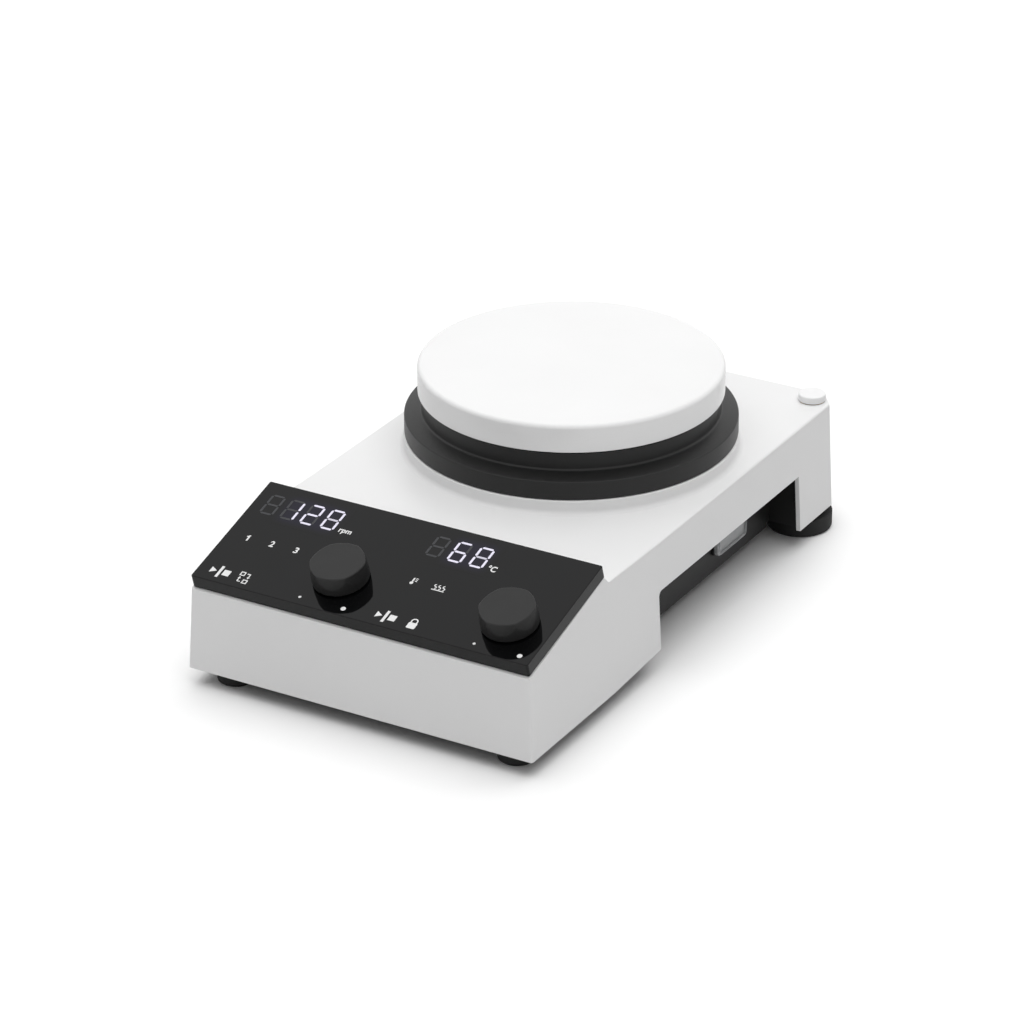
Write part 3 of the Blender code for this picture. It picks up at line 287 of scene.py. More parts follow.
def frosted_cover(place):
    cloud = place.noise(3 * mm, 3)
    edge = place.add("ShaderNodeLayerWeight", None, {"Blend": 0.35}, "Facing")
    return {
        "Base Color": cloud.colours((0.62, 0.63, 0.64), (0.72, 0.73, 0.74)),
        "Roughness": cloud * 0.12 + 0.18,
        "Alpha": edge * 0.5 + 0.32,
        "Normal": cloud.bump(0.02 * mm),
    }


make_finish("display_face", {"IOR": 1.5}, display_glass)
make_finish("clear_cover", {"IOR": 1.45}, frosted_cover)

# %% [markdown]
# ## Metals and boards inside
# Few of these show from outside, but the part can be opened up or seen through, so each has its real finish:
# a brushed grain on turned steel, spangles on zinc plate, wound copper in ridges, tracks on a green board.
# The
# copper also has painted shade: its grooves between the turns are painted darker than its crests.

# %% Metals
def metal_finish(name, dark, light, roughness, grain_size, stretch=(1, 1, 1), depth=0.006 * mm):
    def surface(place):
        grain = place.stretched(*stretch).noise(grain_size, 3)
        stain = place.noise(12 * mm, 2)
        return {
            "Base Color": (grain * 0.5 + stain * 0.5).colours(dark, light),
            "Roughness": grain * 0.16 + (roughness - 0.08),
            "Normal": grain.bump(depth),
        }

    return make_finish(name, {"Metallic": 1.0}, surface)


metal_finish("zinc_steel", (0.50, 0.51, 0.53), (0.66, 0.67, 0.68), 0.38, 2.2 * mm)
metal_finish("bright_steel", (0.58, 0.58, 0.59), (0.70, 0.70, 0.71), 0.24, 0.3 * mm, (1, 1, 0.08))
metal_finish("brass", (0.66, 0.46, 0.18), (0.78, 0.58, 0.26), 0.30, 0.3 * mm, (1, 1, 0.08))
metal_finish("aluminium", (0.68, 0.69, 0.70), (0.80, 0.81, 0.82), 0.36, 0.4 * mm, (0.1, 1, 1))
metal_finish("magnet_coat", (0.44, 0.44, 0.46), (0.56, 0.56, 0.58), 0.26, 0.8 * mm)


wave_scale = 0.31416            # the wave node's scale for ridges one metre apart


def ridged(place, pitch):
    """Ridges one pitch apart up the piece, 0 in each groove and 1 on each crest."""
    bands = {"wave_type": "BANDS", "bands_direction": "Z", "wave_profile": "SIN"}
    return place.add("ShaderNodeTexWave", bands,
                     {"Vector": place, "Scale": wave_scale / pitch, "Distortion": 0.4, "Detail": 1})


def copper_turns_with_painted_groove_shade(place):
    # The grooves between the turns are painted darker than the crests: painted shade. The same ridges also
    # give the turns their real relief through the bump.
    turns_and_painted_groove_shade = ridged(place, 0.7 * mm)
    return {
        "Base Color": turns_and_painted_groove_shade.colours((0.30, 0.10, 0.04), (0.66, 0.28, 0.12)),
        "Roughness": turns_and_painted_groove_shade * -0.10 + 0.42,
        "Normal": turns_and_painted_groove_shade.bump(0.2 * mm, 0.6),
    }


def core_sheets(place):
    sheets = ridged(place, 0.5 * mm)
    return {
        "Base Color": sheets.colours((0.20, 0.20, 0.21), (0.36, 0.36, 0.37)),
        "Roughness": place.noise(2 * mm) * 0.15 + 0.38,
        "Normal": sheets.bump(0.05 * mm, 0.5),
    }


make_finish("copper_winding", {"Metallic": 0.9}, copper_turns_with_painted_groove_shade)
make_finish("core_steel", {"Metallic": 1.0}, core_sheets)

# %% Boards, tape and fibre
def board_mask(place):
    tracks = place.add("ShaderNodeTexBrick", {"offset": 0.5},
                       {"Vector": place, "Scale": 220, "Mortar Size": 0.03, "Color1": (0, 0, 0, 1),
                        "Color2": (0, 0, 0, 1), "Mortar": (1, 1, 1, 1)})
    return {
        "Base Color": tracks.colours((0.012, 0.085, 0.035), (0.030, 0.160, 0.065)),
        "Roughness": place.noise(1 * mm) * 0.1 + 0.30,
        "Normal": tracks.bump(0.03 * mm, 0.5),
    }


def wound_tape(place):
    wraps = ridged(place, 6 * mm)
    return {
        "Base Color": wraps.colours((0.55, 0.38, 0.06), (0.68, 0.50, 0.11)),
        "Roughness": place.noise(1.5 * mm) * 0.1 + 0.30,
        "Normal": wraps.bump(0.1 * mm, 0.4),
    }


def pressed_fibre(place):
    felt = place.noise(0.5 * mm, 4, 0.5)
    return {
        "Base Color": felt.colours((0.62, 0.60, 0.55), (0.82, 0.80, 0.76)),
        "Roughness": felt * 0.1 + 0.82,
        "Normal": felt.bump(0.1 * mm),
    }


make_finish("board_green", {"IOR": 1.5}, board_mask)
make_finish("winding_tape", {"IOR": 1.5}, wound_tape)
make_finish("fibre_white", {"IOR": 1.4}, pressed_fibre)

# %% Give every CAD node the finish of its slot
for node in nodes.values():
    slot_name = node.data.materials[0].name.split(".")[0]
    node.data.materials[0] = finishes[slot_name]
print("finishes:", len(finishes))

# %% [markdown]
# ## The studio
# The photograph has a white floor without an edge and very soft light, mostly from a broad lamp overhead,
# with some from behind, from the front right and from the left. Sun lamps with wide discs give that, because
# a wide disc draws a shadow that is dark only right under the instrument. The world adds a little fill.
# Mirrors see it as an even pale room, so the lamps themselves are hidden from mirrors. The floor is a little
# whiter for the camera than for the light that it throws back, as a lit paper sweep is.

# %% Floor
floor_bounce = 0.78
floor_seen = 1.0


def floor_surface(place):
    cloud = place.noise(0.5, 2)
    seen = place.add("ShaderNodeLightPath", output="Is Camera Ray")
    return {
        "Base Color": seen.colours(shade(floor_bounce), shade(floor_seen)),
        "Roughness": cloud * 0.02 + 0.9,
    }


make_finish("studio_floor", {"Specular IOR Level": 0.0}, floor_surface)
floor_size = 16
bpy.ops.mesh.primitive_plane_add(size=floor_size)
floor = bpy.context.object
floor.name = "studio_floor"
floor.data.materials.append(finishes["studio_floor"])

# %% Sky
sky_level = 0.05

world = bpy.data.worlds.new("studio_sky")
scene.world = world
world.use_nodes = True
world.node_tree.nodes.clear()
sky = Wire(world.node_tree)
is_camera = sky.add("ShaderNodeLightPath", output="Is Camera Ray")
is_glossy = sky.add("ShaderNodeLightPath", output="Is Glossy Ray")
is_through = sky.add("ShaderNodeLightPath", output="Is Transmission Ray")
seen = sky.maths("MINIMUM", is_camera + is_glossy + is_through, 1)
level = seen * (1 - sky_level) + sky_level
backdrop = sky.add("ShaderNodeBackground", None, {"Color": (1, 1, 1, 1), "Strength": level})
sky.add("ShaderNodeOutputWorld", None, {"Surface": backdrop})

# %% Lamps
lamp_spread = math.radians(75)
lamps = {                       # where each stands, and how white it alone makes a white card facing it
    "overhead": ((0, 0, 1), 0.60),
    "front_right": ((0.5, -0.7, 1), 0.24),
    "behind": ((0, 1.2, 1), 0.28),
    "left": ((-1.2, 0, 1), 0.11),
}
for lamp_name, (stands, whiteness) in lamps.items():
    lamp_data = bpy.data.lights.new(lamp_name, "SUN")
    lamp_data.energy = whiteness * math.pi
    lamp_data.angle = lamp_spread
    lamp = bpy.data.objects.new(lamp_name, lamp_data)
    scene.collection.objects.link(lamp)
    lamp.rotation_euler = Vector(stands).to_track_quat("Z", "Y").to_euler()
    lamp.visible_glossy = False
scene.view_settings.view_transform = "Standard"

# %% [markdown]
# ## Tools for modelling
# Every piece below starts as one of Blender's primitives and is shaped in edit mode. These helpers do what a
# modeller does with the mouse: pick what lies somewhere, cut along a plane, round an edge, cut one piece out
# of another.

# %% Start, pick and finish
def make_active(piece):
    """Selects this piece alone."""
    bpy.ops.object.select_all(action="DESELECT")
    piece.select_set(True)
    bpy.context.view_layer.objects.active = piece


def settle(name="part"):
    """Names the new piece and applies its place, turn and size, so that its axes are the instrument's."""
    piece = bpy.context.object
    piece.name = name
    bpy.ops.object.transform_apply(location=True, rotation=True, scale=True)
    return piece


def start_piece(name, corner, far_corner):
    """A box between two opposite corners, left in edit mode."""
    low = Vector(map(min, corner, far_corner))
    high = Vector(map(max, corner, far_corner))
    bpy.ops.object.select_all(action="DESELECT")
    bpy.ops.mesh.primitive_cube_add(size=1, location=(low + high) / 2, scale=high - low)
    piece = settle(name)
    bpy.ops.object.mode_set(mode="EDIT")
    return piece


def pick(kind, test):
    """Selects the vertices, edges or faces of the piece in edit mode for which test is true."""
    bpy.ops.mesh.select_mode(type=kind)
    bpy.ops.mesh.select_all(action="DESELECT")
    mesh = bpy.context.edit_object.data
    edit = bmesh.from_edit_mesh(mesh)
    found = [element for element in {"VERT": edit.verts, "EDGE": edit.edges, "FACE": edit.faces}[kind]
             if test(element)]
    for element in found:
        element.select_set(True)
    edit.select_flush_mode()
    bmesh.update_edit_mesh(mesh)
    return len(found)


def slice_off(point, direction, keep_both=False):
    """Cuts the piece in edit mode along a plane and drops the part that direction points to."""
    bpy.ops.mesh.select_all(action="SELECT")
    bpy.ops.mesh.bisect(plane_co=point, plane_no=Vector(direction).normalized(), threshold=0.001 * mm,
                        use_fill=not keep_both, clear_outer=not keep_both)


def move(offset):
    bpy.ops.transform.translate(value=offset)


def pull(offset):
    """Extrudes what is selected."""
    bpy.ops.mesh.extrude_region_move(TRANSFORM_OT_translate={"value": offset})


def sink(wall, offset):
    """Leaves a wall round the picked faces and pushes what it surrounds along the offset."""
    bpy.ops.mesh.inset(thickness=wall)
    pull(offset)


def done():
    bpy.ops.object.mode_set(mode="OBJECT")


def block(name, corner, far_corner):
    """A box between two opposite corners, finished."""
    piece = start_piece(name, corner, far_corner)
    done()
    return piece


def rod(name, radius, length, centre, sides=48, turn=(0, 0, 0)):
    """An upright cylinder, or one turned about its middle."""
    bpy.ops.object.select_all(action="DESELECT")
    bpy.ops.mesh.primitive_cylinder_add(vertices=sides, radius=radius, depth=length, location=centre,
                                        rotation=turn)
    return settle(name)


def post(name, place, radius, low, high, sides=48):
    """An upright cylinder between two heights."""
    return rod(name, radius, high - low, (place[0], place[1], (low + high) / 2), sides)


def open_piece(piece):
    """Opens a piece for more work in edit mode."""
    make_active(piece)
    bpy.ops.object.mode_set(mode="EDIT")


def round_edges(radius, steps, test):
    """Rounds the edges of the piece in edit mode for which test is true."""
    pick("EDGE", test)
    bpy.ops.mesh.bevel(offset=radius, segments=steps)


def joined(name, parts):
    """Several pieces made one."""
    make_active(parts[0])
    for part in parts[1:]:
        part.select_set(True)
    if len(parts) > 1:
        bpy.ops.object.join()
    parts[0].name = name
    return parts[0]


def use_modifier(piece, kind, **settings):
    """Adds a modifier and applies it."""
    make_active(piece)
    modifier = piece.modifiers.new(kind.lower(), kind)
    for name, value in settings.items():
        setattr(modifier, name, value)
    bpy.ops.object.modifier_apply(modifier=modifier.name)


def boolean(piece, other, operation="DIFFERENCE"):
    """Cuts another piece out of this one or adds it. The Manifold solver keeps closed meshes closed."""
    use_modifier(piece, "BOOLEAN", object=other, operation=operation, solver="MANIFOLD")
    bpy.data.objects.remove(other)


def copy_piece(piece, name):
    twin = piece.copy()
    twin.data = piece.data.copy()
    twin.name = name
    scene.collection.objects.link(twin)
    return twin


def dress(piece, finish, body, replaced=None, angle=30):
    """Smooths a finished piece, gives it its material and ties it to its body."""
    make_active(piece)
    bpy.ops.object.shade_smooth_by_angle(angle=math.radians(angle))
    use_modifier(piece, "WEIGHTED_NORMAL", keep_sharp=True)
    piece.data.materials.clear()
    piece.data.materials.append(finishes[finish])
    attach(piece, body)
    if replaced:
        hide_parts(replaced)
    print(piece.name, "faces:", len(piece.data.polygons))
    return piece


# %% Round profiles for the lathe
def arc(radius, height, size, start, end, steps=6):
    """Points on a circle of that size in a profile, between two angles in degrees."""
    points = []
    for step in range(steps + 1):
        angle = math.radians(start + (end - start) * step / steps)
        points.append((radius + size * math.cos(angle), height + size * math.sin(angle)))
    return points


def turned_piece(name, profile, centre, sides=128, closed=False):
    """A profile of (radius, height) points, extruded from one point and spun about an upright axis."""
    x, y = centre
    places = [Vector((x + radius, y, height)) for radius, height in profile]
    if closed:
        places.append(places[0])
    bpy.ops.object.select_all(action="DESELECT")
    bpy.ops.mesh.primitive_plane_add(size=mm, location=places[0])
    piece = settle(name)
    bpy.ops.object.mode_set(mode="EDIT")
    bpy.ops.mesh.select_mode(type="VERT")
    bpy.ops.mesh.select_all(action="SELECT")
    bpy.ops.mesh.merge(type="CENTER")
    for before, after in zip(places, places[1:]):
        pull(after - before)
    bpy.ops.mesh.select_all(action="SELECT")
    bpy.ops.mesh.spin(steps=sides, angle=2 * math.pi, center=(x, y, 0), axis=(0, 0, 1))
    bpy.ops.mesh.select_all(action="SELECT")
    bpy.ops.mesh.remove_doubles(threshold=0.002 * mm)
    bpy.ops.mesh.normals_make_consistent(inside=False)
    done()
    return piece


# %% [markdown]
# ## The panel's own frame
# The control panel slopes, and its knobs slide along its normal. The CAD model's push joint gives that
# normal, and the highest points of the panel along it give its top face. Pieces of the panel are modelled
# lying flat round the origin and are then laid onto the slope.

# %% Measure the panel
push = next(joint for joint in frame["joints"] if joint["name"] == "speed_knob_push")
panel_normal = -Vector(push["axis"]).normalized()
panel_up = Vector((0, panel_normal.z, -panel_normal.y))
panel_points = [vertex.co for vertex in nodes["control_panel"].data.vertices]
panel_top = max(point.dot(panel_normal) for point in panel_points)
top_points = [point for point in panel_points if panel_top - point.dot(panel_normal) < 0.01 * mm]
panel_back = max(point.dot(panel_up) for point in top_points)
panel_front = min(point.dot(panel_up) for point in top_points)
panel_half_length = (panel_back - panel_front) / 2
panel_half_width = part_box("control_panel")[1].x
panel_centre = panel_normal * panel_top + panel_up * (panel_front + panel_half_length)
panel_frame = Matrix((Vector((1, 0, 0)), panel_up, panel_normal)).transposed().to_4x4()
panel_frame.translation = panel_centre
panel_slope = math.atan2(panel_up.z, panel_up.y)
panel_thickness = 6.2 * mm
print("panel slope:", round(math.degrees(panel_slope), 2), "half length:", round(panel_half_length, 5))


def on_panel(piece):
    """Lays a flat piece onto the slope."""
    piece.data.transform(panel_frame)
    return piece


# %% [markdown]
# ## The upper housing
# The housing is one white shell: a wedge-shaped front under the panel, a flat deck, a round plinth for the
# plate, leaning sides with an open recess and two rear legs. It is modelled as a solid block first, because
# cutting planes keep its leaning sides flat, then rounded, hollowed and pierced.

# %% The block
housing_low, housing_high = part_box("upper_housing")
half_width = housing_high.x
half_length = housing_high.y
skirt = housing_low.z
plinth_rise = 6.6 * mm
deck = housing_high.z - plinth_rise
side_lean = 0.05                # inwards per unit of height
front_lean = 0.04
leg_lift = 2.2 * mm
recess_front = -30.5 * mm
recess_back = 99.7 * mm
recess_top = 37 * mm
riser_top_y = -75.8 * mm
riser_foot_y = -72.0 * mm
rear_corner = Vector((7, 9, 0)) * mm
seat_drop = panel_thickness + 0.3 * mm


def seat_height(y):
    """Height of the sloping seat under the panel."""
    seat = panel_centre - panel_normal * seat_drop
    return seat.z + (y - seat.y) * math.tan(panel_slope)


def trim_to_sides(inset):
    """Cuts the piece in edit mode along planes this far inside the housing's sides, corners and ends."""
    for side in (-1, 1):
        foot = Vector((side * half_width, half_length, skirt))
        slice_off(foot - Vector((side * inset, 0, 0)), (side, 0, side_lean))
        corner = Vector((side * rear_corner.y, rear_corner.x, side_lean * rear_corner.y)).normalized()
        slice_off(foot - Vector((0, rear_corner.y, 0)) - corner * inset, corner)
    slice_off((0, inset - half_length, skirt), (0, -1, front_lean))
    if inset:
        slice_off((0, half_length - inset, 0), (0, 1, 0))


block_top = seat_height(riser_top_y)
housing = start_piece("housing_shell", (-half_width, -half_length, skirt),
                      (half_width, half_length, block_top))
for y in (riser_top_y, riser_foot_y, recess_front + leg_lift):
    slice_off((0, y, 0), (0, 1, 0), keep_both=True)
near = 0.01 * mm
pick("VERT", lambda v: v.co.z > block_top - near and v.co.y > riser_foot_y - near)
move((0, 0, deck - block_top))
pick("VERT", lambda v: v.co.z > block_top - near and v.co.y < -half_length + near)
move((0, 0, seat_height(-half_length) - block_top))
pick("VERT", lambda v: v.co.z < skirt + near and v.co.y > recess_front + leg_lift - near)
move((0, 0, leg_lift))
trim_to_sides(0)

# %% Round its edges
def lies_along(edge, direction):
    run = (edge.verts[1].co - edge.verts[0].co).normalized()
    return abs(run.dot(direction)) > 0.98


def is_sharp(edge):
    return edge.is_manifold and edge.calc_face_angle() > math.radians(15)


across = Vector((1, 0, 0))
lengthwise = Vector((0, 1, 0))
upright = Vector((0, 0, 1))
front_corner_radius = 1.0 * mm
deck_edge_radius = 0.9 * mm
round_edges(front_corner_radius, 5, lambda e: is_sharp(e) and lies_along(e, upright)
            and e.verts[0].co.y < -half_length / 2)
round_edges(deck_edge_radius, 4, lambda e: is_sharp(e) and min(v.co.z for v in e.verts) > deck - near
            and lies_along(e, lengthwise) and e.verts[0].co.y > riser_foot_y - near)
done()

# %% The round plinth
plate_low, plate_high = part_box("heating_plate")
axis_place = ((plate_low.x + plate_high.x) / 2, (plate_low.y + plate_high.y) / 2)
plate_radius = (plate_high.x - plate_low.x) / 2
plinth_radius = plate_radius + 6.5 * mm
plinth_flare = 2.4 * mm
plinth_edge = 0.8 * mm
sink_in = 0.1 * mm              # how far the foot of the flare dips into the deck
plinth_profile = [(0, deck - plinth_rise), (plinth_radius + plinth_flare, deck - plinth_rise)]
plinth_profile += arc(plinth_radius + plinth_flare, deck + plinth_flare - sink_in, plinth_flare, 270, 180, 8)
plinth_profile += arc(plinth_radius - plinth_edge, housing_high.z - plinth_edge, plinth_edge, 0, 90, 5)
plinth_profile.append((0, housing_high.z))
plinth = turned_piece("plinth", plinth_profile, axis_place, 144)
boolean(housing, plinth, "UNION")

# %% Hollow it out
shell_wall = 2 * mm
open_piece(housing)
pick("FACE", lambda f: f.normal.z < -0.9 and f.calc_center_median().z < skirt + 2 * leg_lift)
bpy.ops.mesh.delete(type="FACE")
done()
use_modifier(housing, "SOLIDIFY", thickness=shell_wall, offset=-1, use_even_offset=True)

# %% Bosses for the screws and the rod socket
def middle(node):
    """The middle of a node's box."""
    low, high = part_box(node)
    return (low + high) / 2


sides = ("left", "right")
ends = ("front", "rear")
gap = 0.3 * mm                  # between pieces that rest on each other
boss_radius = 4.5 * mm
boss_low = 12.2 * mm
boss_high = deck - mm
pilot_radius = 1.9 * mm
hole_sides = 24
for screw in [f"housing_screw_{end}_{side}" for end in ends for side in sides]:
    boolean(housing, post("boss", middle(screw), boss_radius, boss_low, boss_high), "UNION")
    boolean(housing, post("pilot", middle(screw), pilot_radius, 0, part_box(screw)[1].z + gap, hole_sides))

rod_boss_radius = 8.5 * mm
rod_boss_depth = 22 * mm
insert_low, insert_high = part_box("rod_insert")
insert_place = middle("rod_insert")
insert_radius = (insert_high.x - insert_low.x) / 2
rod_boss = post("rod_boss", insert_place, rod_boss_radius, deck - rod_boss_depth, boss_high)
open_piece(rod_boss)
trim_to_sides(shell_wall / 2)
done()
boolean(housing, rod_boss, "UNION")
boolean(housing, post("rod_hole", insert_place, insert_radius + gap, 0, deck + mm))

# %% Cut the recesses and holes
recess_corner = 2.5 * mm
recess = start_piece("recess", (-half_width - mm, recess_front, 0),
                     (half_width + mm, recess_back, recess_top))
round_edges(recess_corner, 6, lambda e: lies_along(e, across) and e.verts[0].co.z > recess_top - near
            and e.verts[0].co.y < 0)
done()
boolean(housing, recess)

motor_opening = 38 * mm
boolean(housing, post("opening", axis_place, motor_opening, deck, deck + 2 * plinth_rise, 96))

rear_reach = 4 * mm             # how far a cut reaches each way from the rear wall's face
inlet_low, inlet_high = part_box("power_inlet")
inlet_flange = 2 * mm
inlet_gap = 0.5 * mm
inlet_inset = Vector((inlet_flange - inlet_gap, 0, inlet_flange - inlet_gap))
boolean(housing, block("inlet_hole",
                       Vector((inlet_low.x, half_length - rear_reach, inlet_low.z)) + inlet_inset,
                       Vector((inlet_high.x, half_length + rear_reach, inlet_high.z)) - inlet_inset))

probe_place = middle("probe_socket")
probe_radius = probe_place.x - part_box("probe_socket")[0].x
turned_rearwards = (math.pi / 2, 0, 0)
boolean(housing, rod("probe_hole", probe_radius + gap, 2 * rear_reach,
                     (probe_place.x, half_length, probe_place.z), 48, turned_rearwards))

window_side = 3.5 * mm
window_end = 7.2 * mm
window_depth = 4 * panel_thickness
window = block("window", (window_side - panel_half_width, window_end - panel_half_length, -window_depth),
               (panel_half_width - window_side, panel_half_length - window_end, 0))
boolean(housing, on_panel(window))
dress(housing, "white_paint", "instrument", "upper_housing")

# %% [markdown]
# ## The plate and its collar
# The heated plate is a shallow enamelled cap with a generously rounded rim. It stands on a black collar: a
# wide flange that hides the hot edge from the paint and a straight neck that nearly touches the plate. Both
# are round, so a profile is drawn and spun.

# %% The plate
plate_thickness = 4.3 * mm
rim_wall = 3 * mm
rim_radius = 2.0 * mm
rim_lower_radius = 0.5 * mm
rim_bottom = plate_low.z
plate_top = plate_high.z
plate_profile = [(0, plate_top - plate_thickness), (plate_radius - rim_wall, plate_top - plate_thickness),
                 (plate_radius - rim_wall, rim_bottom)]
plate_profile += arc(plate_radius - rim_lower_radius, rim_bottom + rim_lower_radius, rim_lower_radius,
                     270, 360, 4)
plate_profile += arc(plate_radius - rim_radius, plate_top - rim_radius, rim_radius, 0, 90, 8)
plate_profile += [(plate_radius - 2 * rim_radius, plate_top), (0, plate_top)]
plate = turned_piece("heated_plate", plate_profile, axis_place, 160)
dress(plate, "white_ceramic", "instrument", "heating_plate")

# %% The collar
collar_low, collar_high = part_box("collar_ring")
flange_radius = (collar_high.x - collar_low.x) / 2
flange_top = collar_low.z + 8.5 * mm
flange_wall = 2.6 * mm
flange_edge = 0.7 * mm
shoulder_rise = 1.6 * mm
neck_radius = plate_radius - 1.6 * mm
neck_wall = 3 * mm
neck_fillet = 1.2 * mm
collar_profile = [(flange_radius - flange_wall, collar_low.z)]
collar_profile += arc(flange_radius - flange_edge / 2, collar_low.z + flange_edge / 2, flange_edge / 2,
                      270, 360, 3)
collar_profile += arc(flange_radius - flange_edge, flange_top - flange_edge, flange_edge, 0, 75, 4)
collar_profile += arc(neck_radius + neck_fillet, flange_top + shoulder_rise + neck_fillet, neck_fillet,
                      255, 180, 5)
collar_profile += arc(neck_radius - flange_edge, collar_high.z - flange_edge, flange_edge, 0, 90, 4)
collar_profile += [(neck_radius - neck_wall, collar_high.z),
                   (neck_radius - neck_wall, flange_top - flange_wall + shoulder_rise),
                   (flange_radius - flange_wall, flange_top - flange_wall)]
collar = turned_piece("plate_collar", collar_profile, axis_place, 160, closed=True)
dress(collar, "black_plastic", "instrument", "collar_ring")

# %% [markdown]
# ## The control panel
# The panel is a thick plate of black acrylic with polished edges. Its rounded upright corners are bevelled
# first and the edge of its top face after them, so that the small radius runs round the large one.

# %% The plate of the panel
panel_corner = 0.8 * mm
panel_edge = 0.35 * mm
panel = start_piece("panel_plate", (-panel_half_width, -panel_half_length, -panel_thickness),
                    (panel_half_width, panel_half_length, 0))
round_edges(panel_corner, 6, lambda e: lies_along(e, upright))
round_edges(panel_edge, 3, is_sharp)
done()
on_panel(panel)
dress(panel, "black_panel", "instrument", "control_panel")

# %% [markdown]
# ## The knobs
# Each knob is a low drum with six broad, shallow finger scoops. A large cylinder that leans over the drum
# and shares only part of it leaves exactly the U-shaped outline of such a scoop: wide at the top and running
# out above the skirt. So the drum is kept only where it lies inside six leaning cylinders. Then its rim is
# rounded and its underside is hollowed for the nut. The second knob is a copy.

# %% Shape one knob
knob_radius = 12.3 * mm
knob_lift = 0.9 * mm
knob_top = 9.5 * mm
scoop_foot = 2.9 * mm
scoop_depth = 0.75 * mm
scoop_radius = 16 * mm
scoop_turn = math.radians(-75)      # one scoop faces the photographer
scoops = 6
knob_edge = 0.5 * mm
knob_hollow = 8.8 * mm
knob_hollow_top = 5.0 * mm
knob_sides = 96
mould_sides = 256
mould_length = 4 * scoop_radius

knob = post("speed_knob_cap", (0, 0), knob_radius, knob_lift, knob_top, knob_sides)
scoop_rise = knob_top - scoop_foot
scoop_lean = math.atan2(scoop_depth, scoop_rise)
for index in range(scoops):
    angle = scoop_turn + 2 * math.pi * index / scoops
    foot_of_scoop = Vector(((knob_radius - scoop_radius) * math.cos(angle),
                            (knob_radius - scoop_radius) * math.sin(angle), scoop_foot))
    mould = rod("scoop_mould", scoop_radius, mould_length, foot_of_scoop, mould_sides,
                (0, -scoop_lean, angle))
    boolean(knob, mould, "INTERSECT")
open_piece(knob)
scoop_tilt = math.sin(scoop_lean)


def in_scoop(face):
    return abs(face.normal.z - scoop_tilt) < scoop_tilt / 3


pick("EDGE", lambda e: sum(in_scoop(f) for f in e.link_faces) == 1
     and min(v.co.z for v in e.verts) < knob_top - near)
bpy.ops.mesh.mark_sharp()
round_edges(knob_edge, 4, lambda e: min(v.co.z for v in e.verts) > knob_top - near)
pick("FACE", lambda f: f.normal.z < -0.9)
sink(knob_radius - knob_hollow, (0, 0, knob_hollow_top - knob_lift))
done()

# %% Lay both knobs on the panel
def panel_place(node):
    """Where a node's middle lies in the panel's frame."""
    low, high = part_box(node)
    place = panel_frame.inverted() @ ((low + high) / 2)
    return Vector((place.x, place.y, 0))


other_knob = copy_piece(knob, "temperature_knob_cap")
for piece, which in ((knob, "speed"), (other_knob, "temperature")):
    piece.data.transform(Matrix.Translation(panel_place(f"{which}_shaft")))
    on_panel(piece)
    dress(piece, "knob_plastic", f"{which}_control", f"{which}_knob")

# %% [markdown]
# ## The marks on the panel
# The displays shine through the black panel: seven bars make each digit, lit ones white with a hint of
# violet and unlit ones faintly grey. The other marks are printed: three numbers, two units, dots for low and
# high, and plain signs for start, stop, change-over, lock, a probe and heat. An image texture could draw
# them, but a sheet of mesh a hair above the panel stays sharp at any distance and also exists in the exported
# shape.

# %% Finishes of the marks
def lit_bar(place):
    glow = place.noise(1.2 * mm, 2)
    return {
        "Base Color": glow.colours((0.50, 0.49, 0.56), (0.60, 0.58, 0.66)),
        "Emission Color": glow.colours((0.60, 0.57, 0.74), (0.86, 0.84, 0.98)),
        "Roughness": glow * 0.1 + 0.4,
    }


def unlit_bar(place):
    glow = place.noise(1.2 * mm, 2)
    return {
        "Base Color": glow.colours((0.040, 0.041, 0.044), (0.056, 0.057, 0.062)),
        "Roughness": glow * 0.1 + 0.3,
    }


def printed_mark(place):
    ink = place.noise(0.5 * mm, 3)
    return {
        "Base Color": ink.colours(shade(0.74), shade(0.86)),
        "Roughness": ink * 0.1 + 0.45,
    }


def display_glow(place):
    """The faint blue that lit bars spread behind the panel, fading towards the sheet's edges."""
    across = place.add("ShaderNodeUVMap", {"uv_map": "sheet"})
    fade = (across.part("X").between(0, 0.25) * (1 - across.part("X").between(0.75, 1))
            * across.part("Y").between(0, 0.25) * (1 - across.part("Y").between(0.75, 1)))
    return {
        "Base Color": place.noise(18 * mm, 4).colours((0.0016, 0.0017, 0.0019), (0.0030, 0.0031, 0.0034)),
        "Emission Color": fade.colours((0, 0, 0), (0.004, 0.003, 0.014)),
        "Roughness": place.noise(18 * mm, 4) * 0.04 + 0.03,
    }


make_finish("lit_bar", {"IOR": 1.45, "Specular IOR Level": 0.1, "Emission Strength": 0.42}, lit_bar)
make_finish("faint_bar", {"IOR": 1.45, "Specular IOR Level": 0.1, "Emission Strength": 0.12}, lit_bar)
make_finish("unlit_bar", {"IOR": 1.45, "Specular IOR Level": 0.26}, unlit_bar)
make_finish("display_glow", {"IOR": 1.49, "Specular IOR Level": 0.26, "Emission Strength": 1.0}, display_glow)
make_finish("printed_mark", {"IOR": 1.45, "Specular IOR Level": 0.2}, printed_mark)

# %% Flat shapes for the marks
mark_height = 0.03 * mm
mark_lift = 0.02 * mm


def slab(u0, v0, u1, v1, corner=0.0):
    """A flat rectangle between two corners in millimetres, with its own corners cut off by that much."""
    bpy.ops.object.select_all(action="DESELECT")
    bpy.ops.mesh.primitive_plane_add(size=mm, location=((u0 + u1) / 2 * mm, (v0 + v1) / 2 * mm, 0))
    bpy.context.object.scale = (u1 - u0, v1 - v0, 1)
    part = settle()
    if corner:
        bpy.ops.object.mode_set(mode="EDIT")
        bpy.ops.mesh.select_all(action="SELECT")
        bpy.ops.mesh.bevel(offset=corner * mm, affect="VERTICES")
        done()
    return part


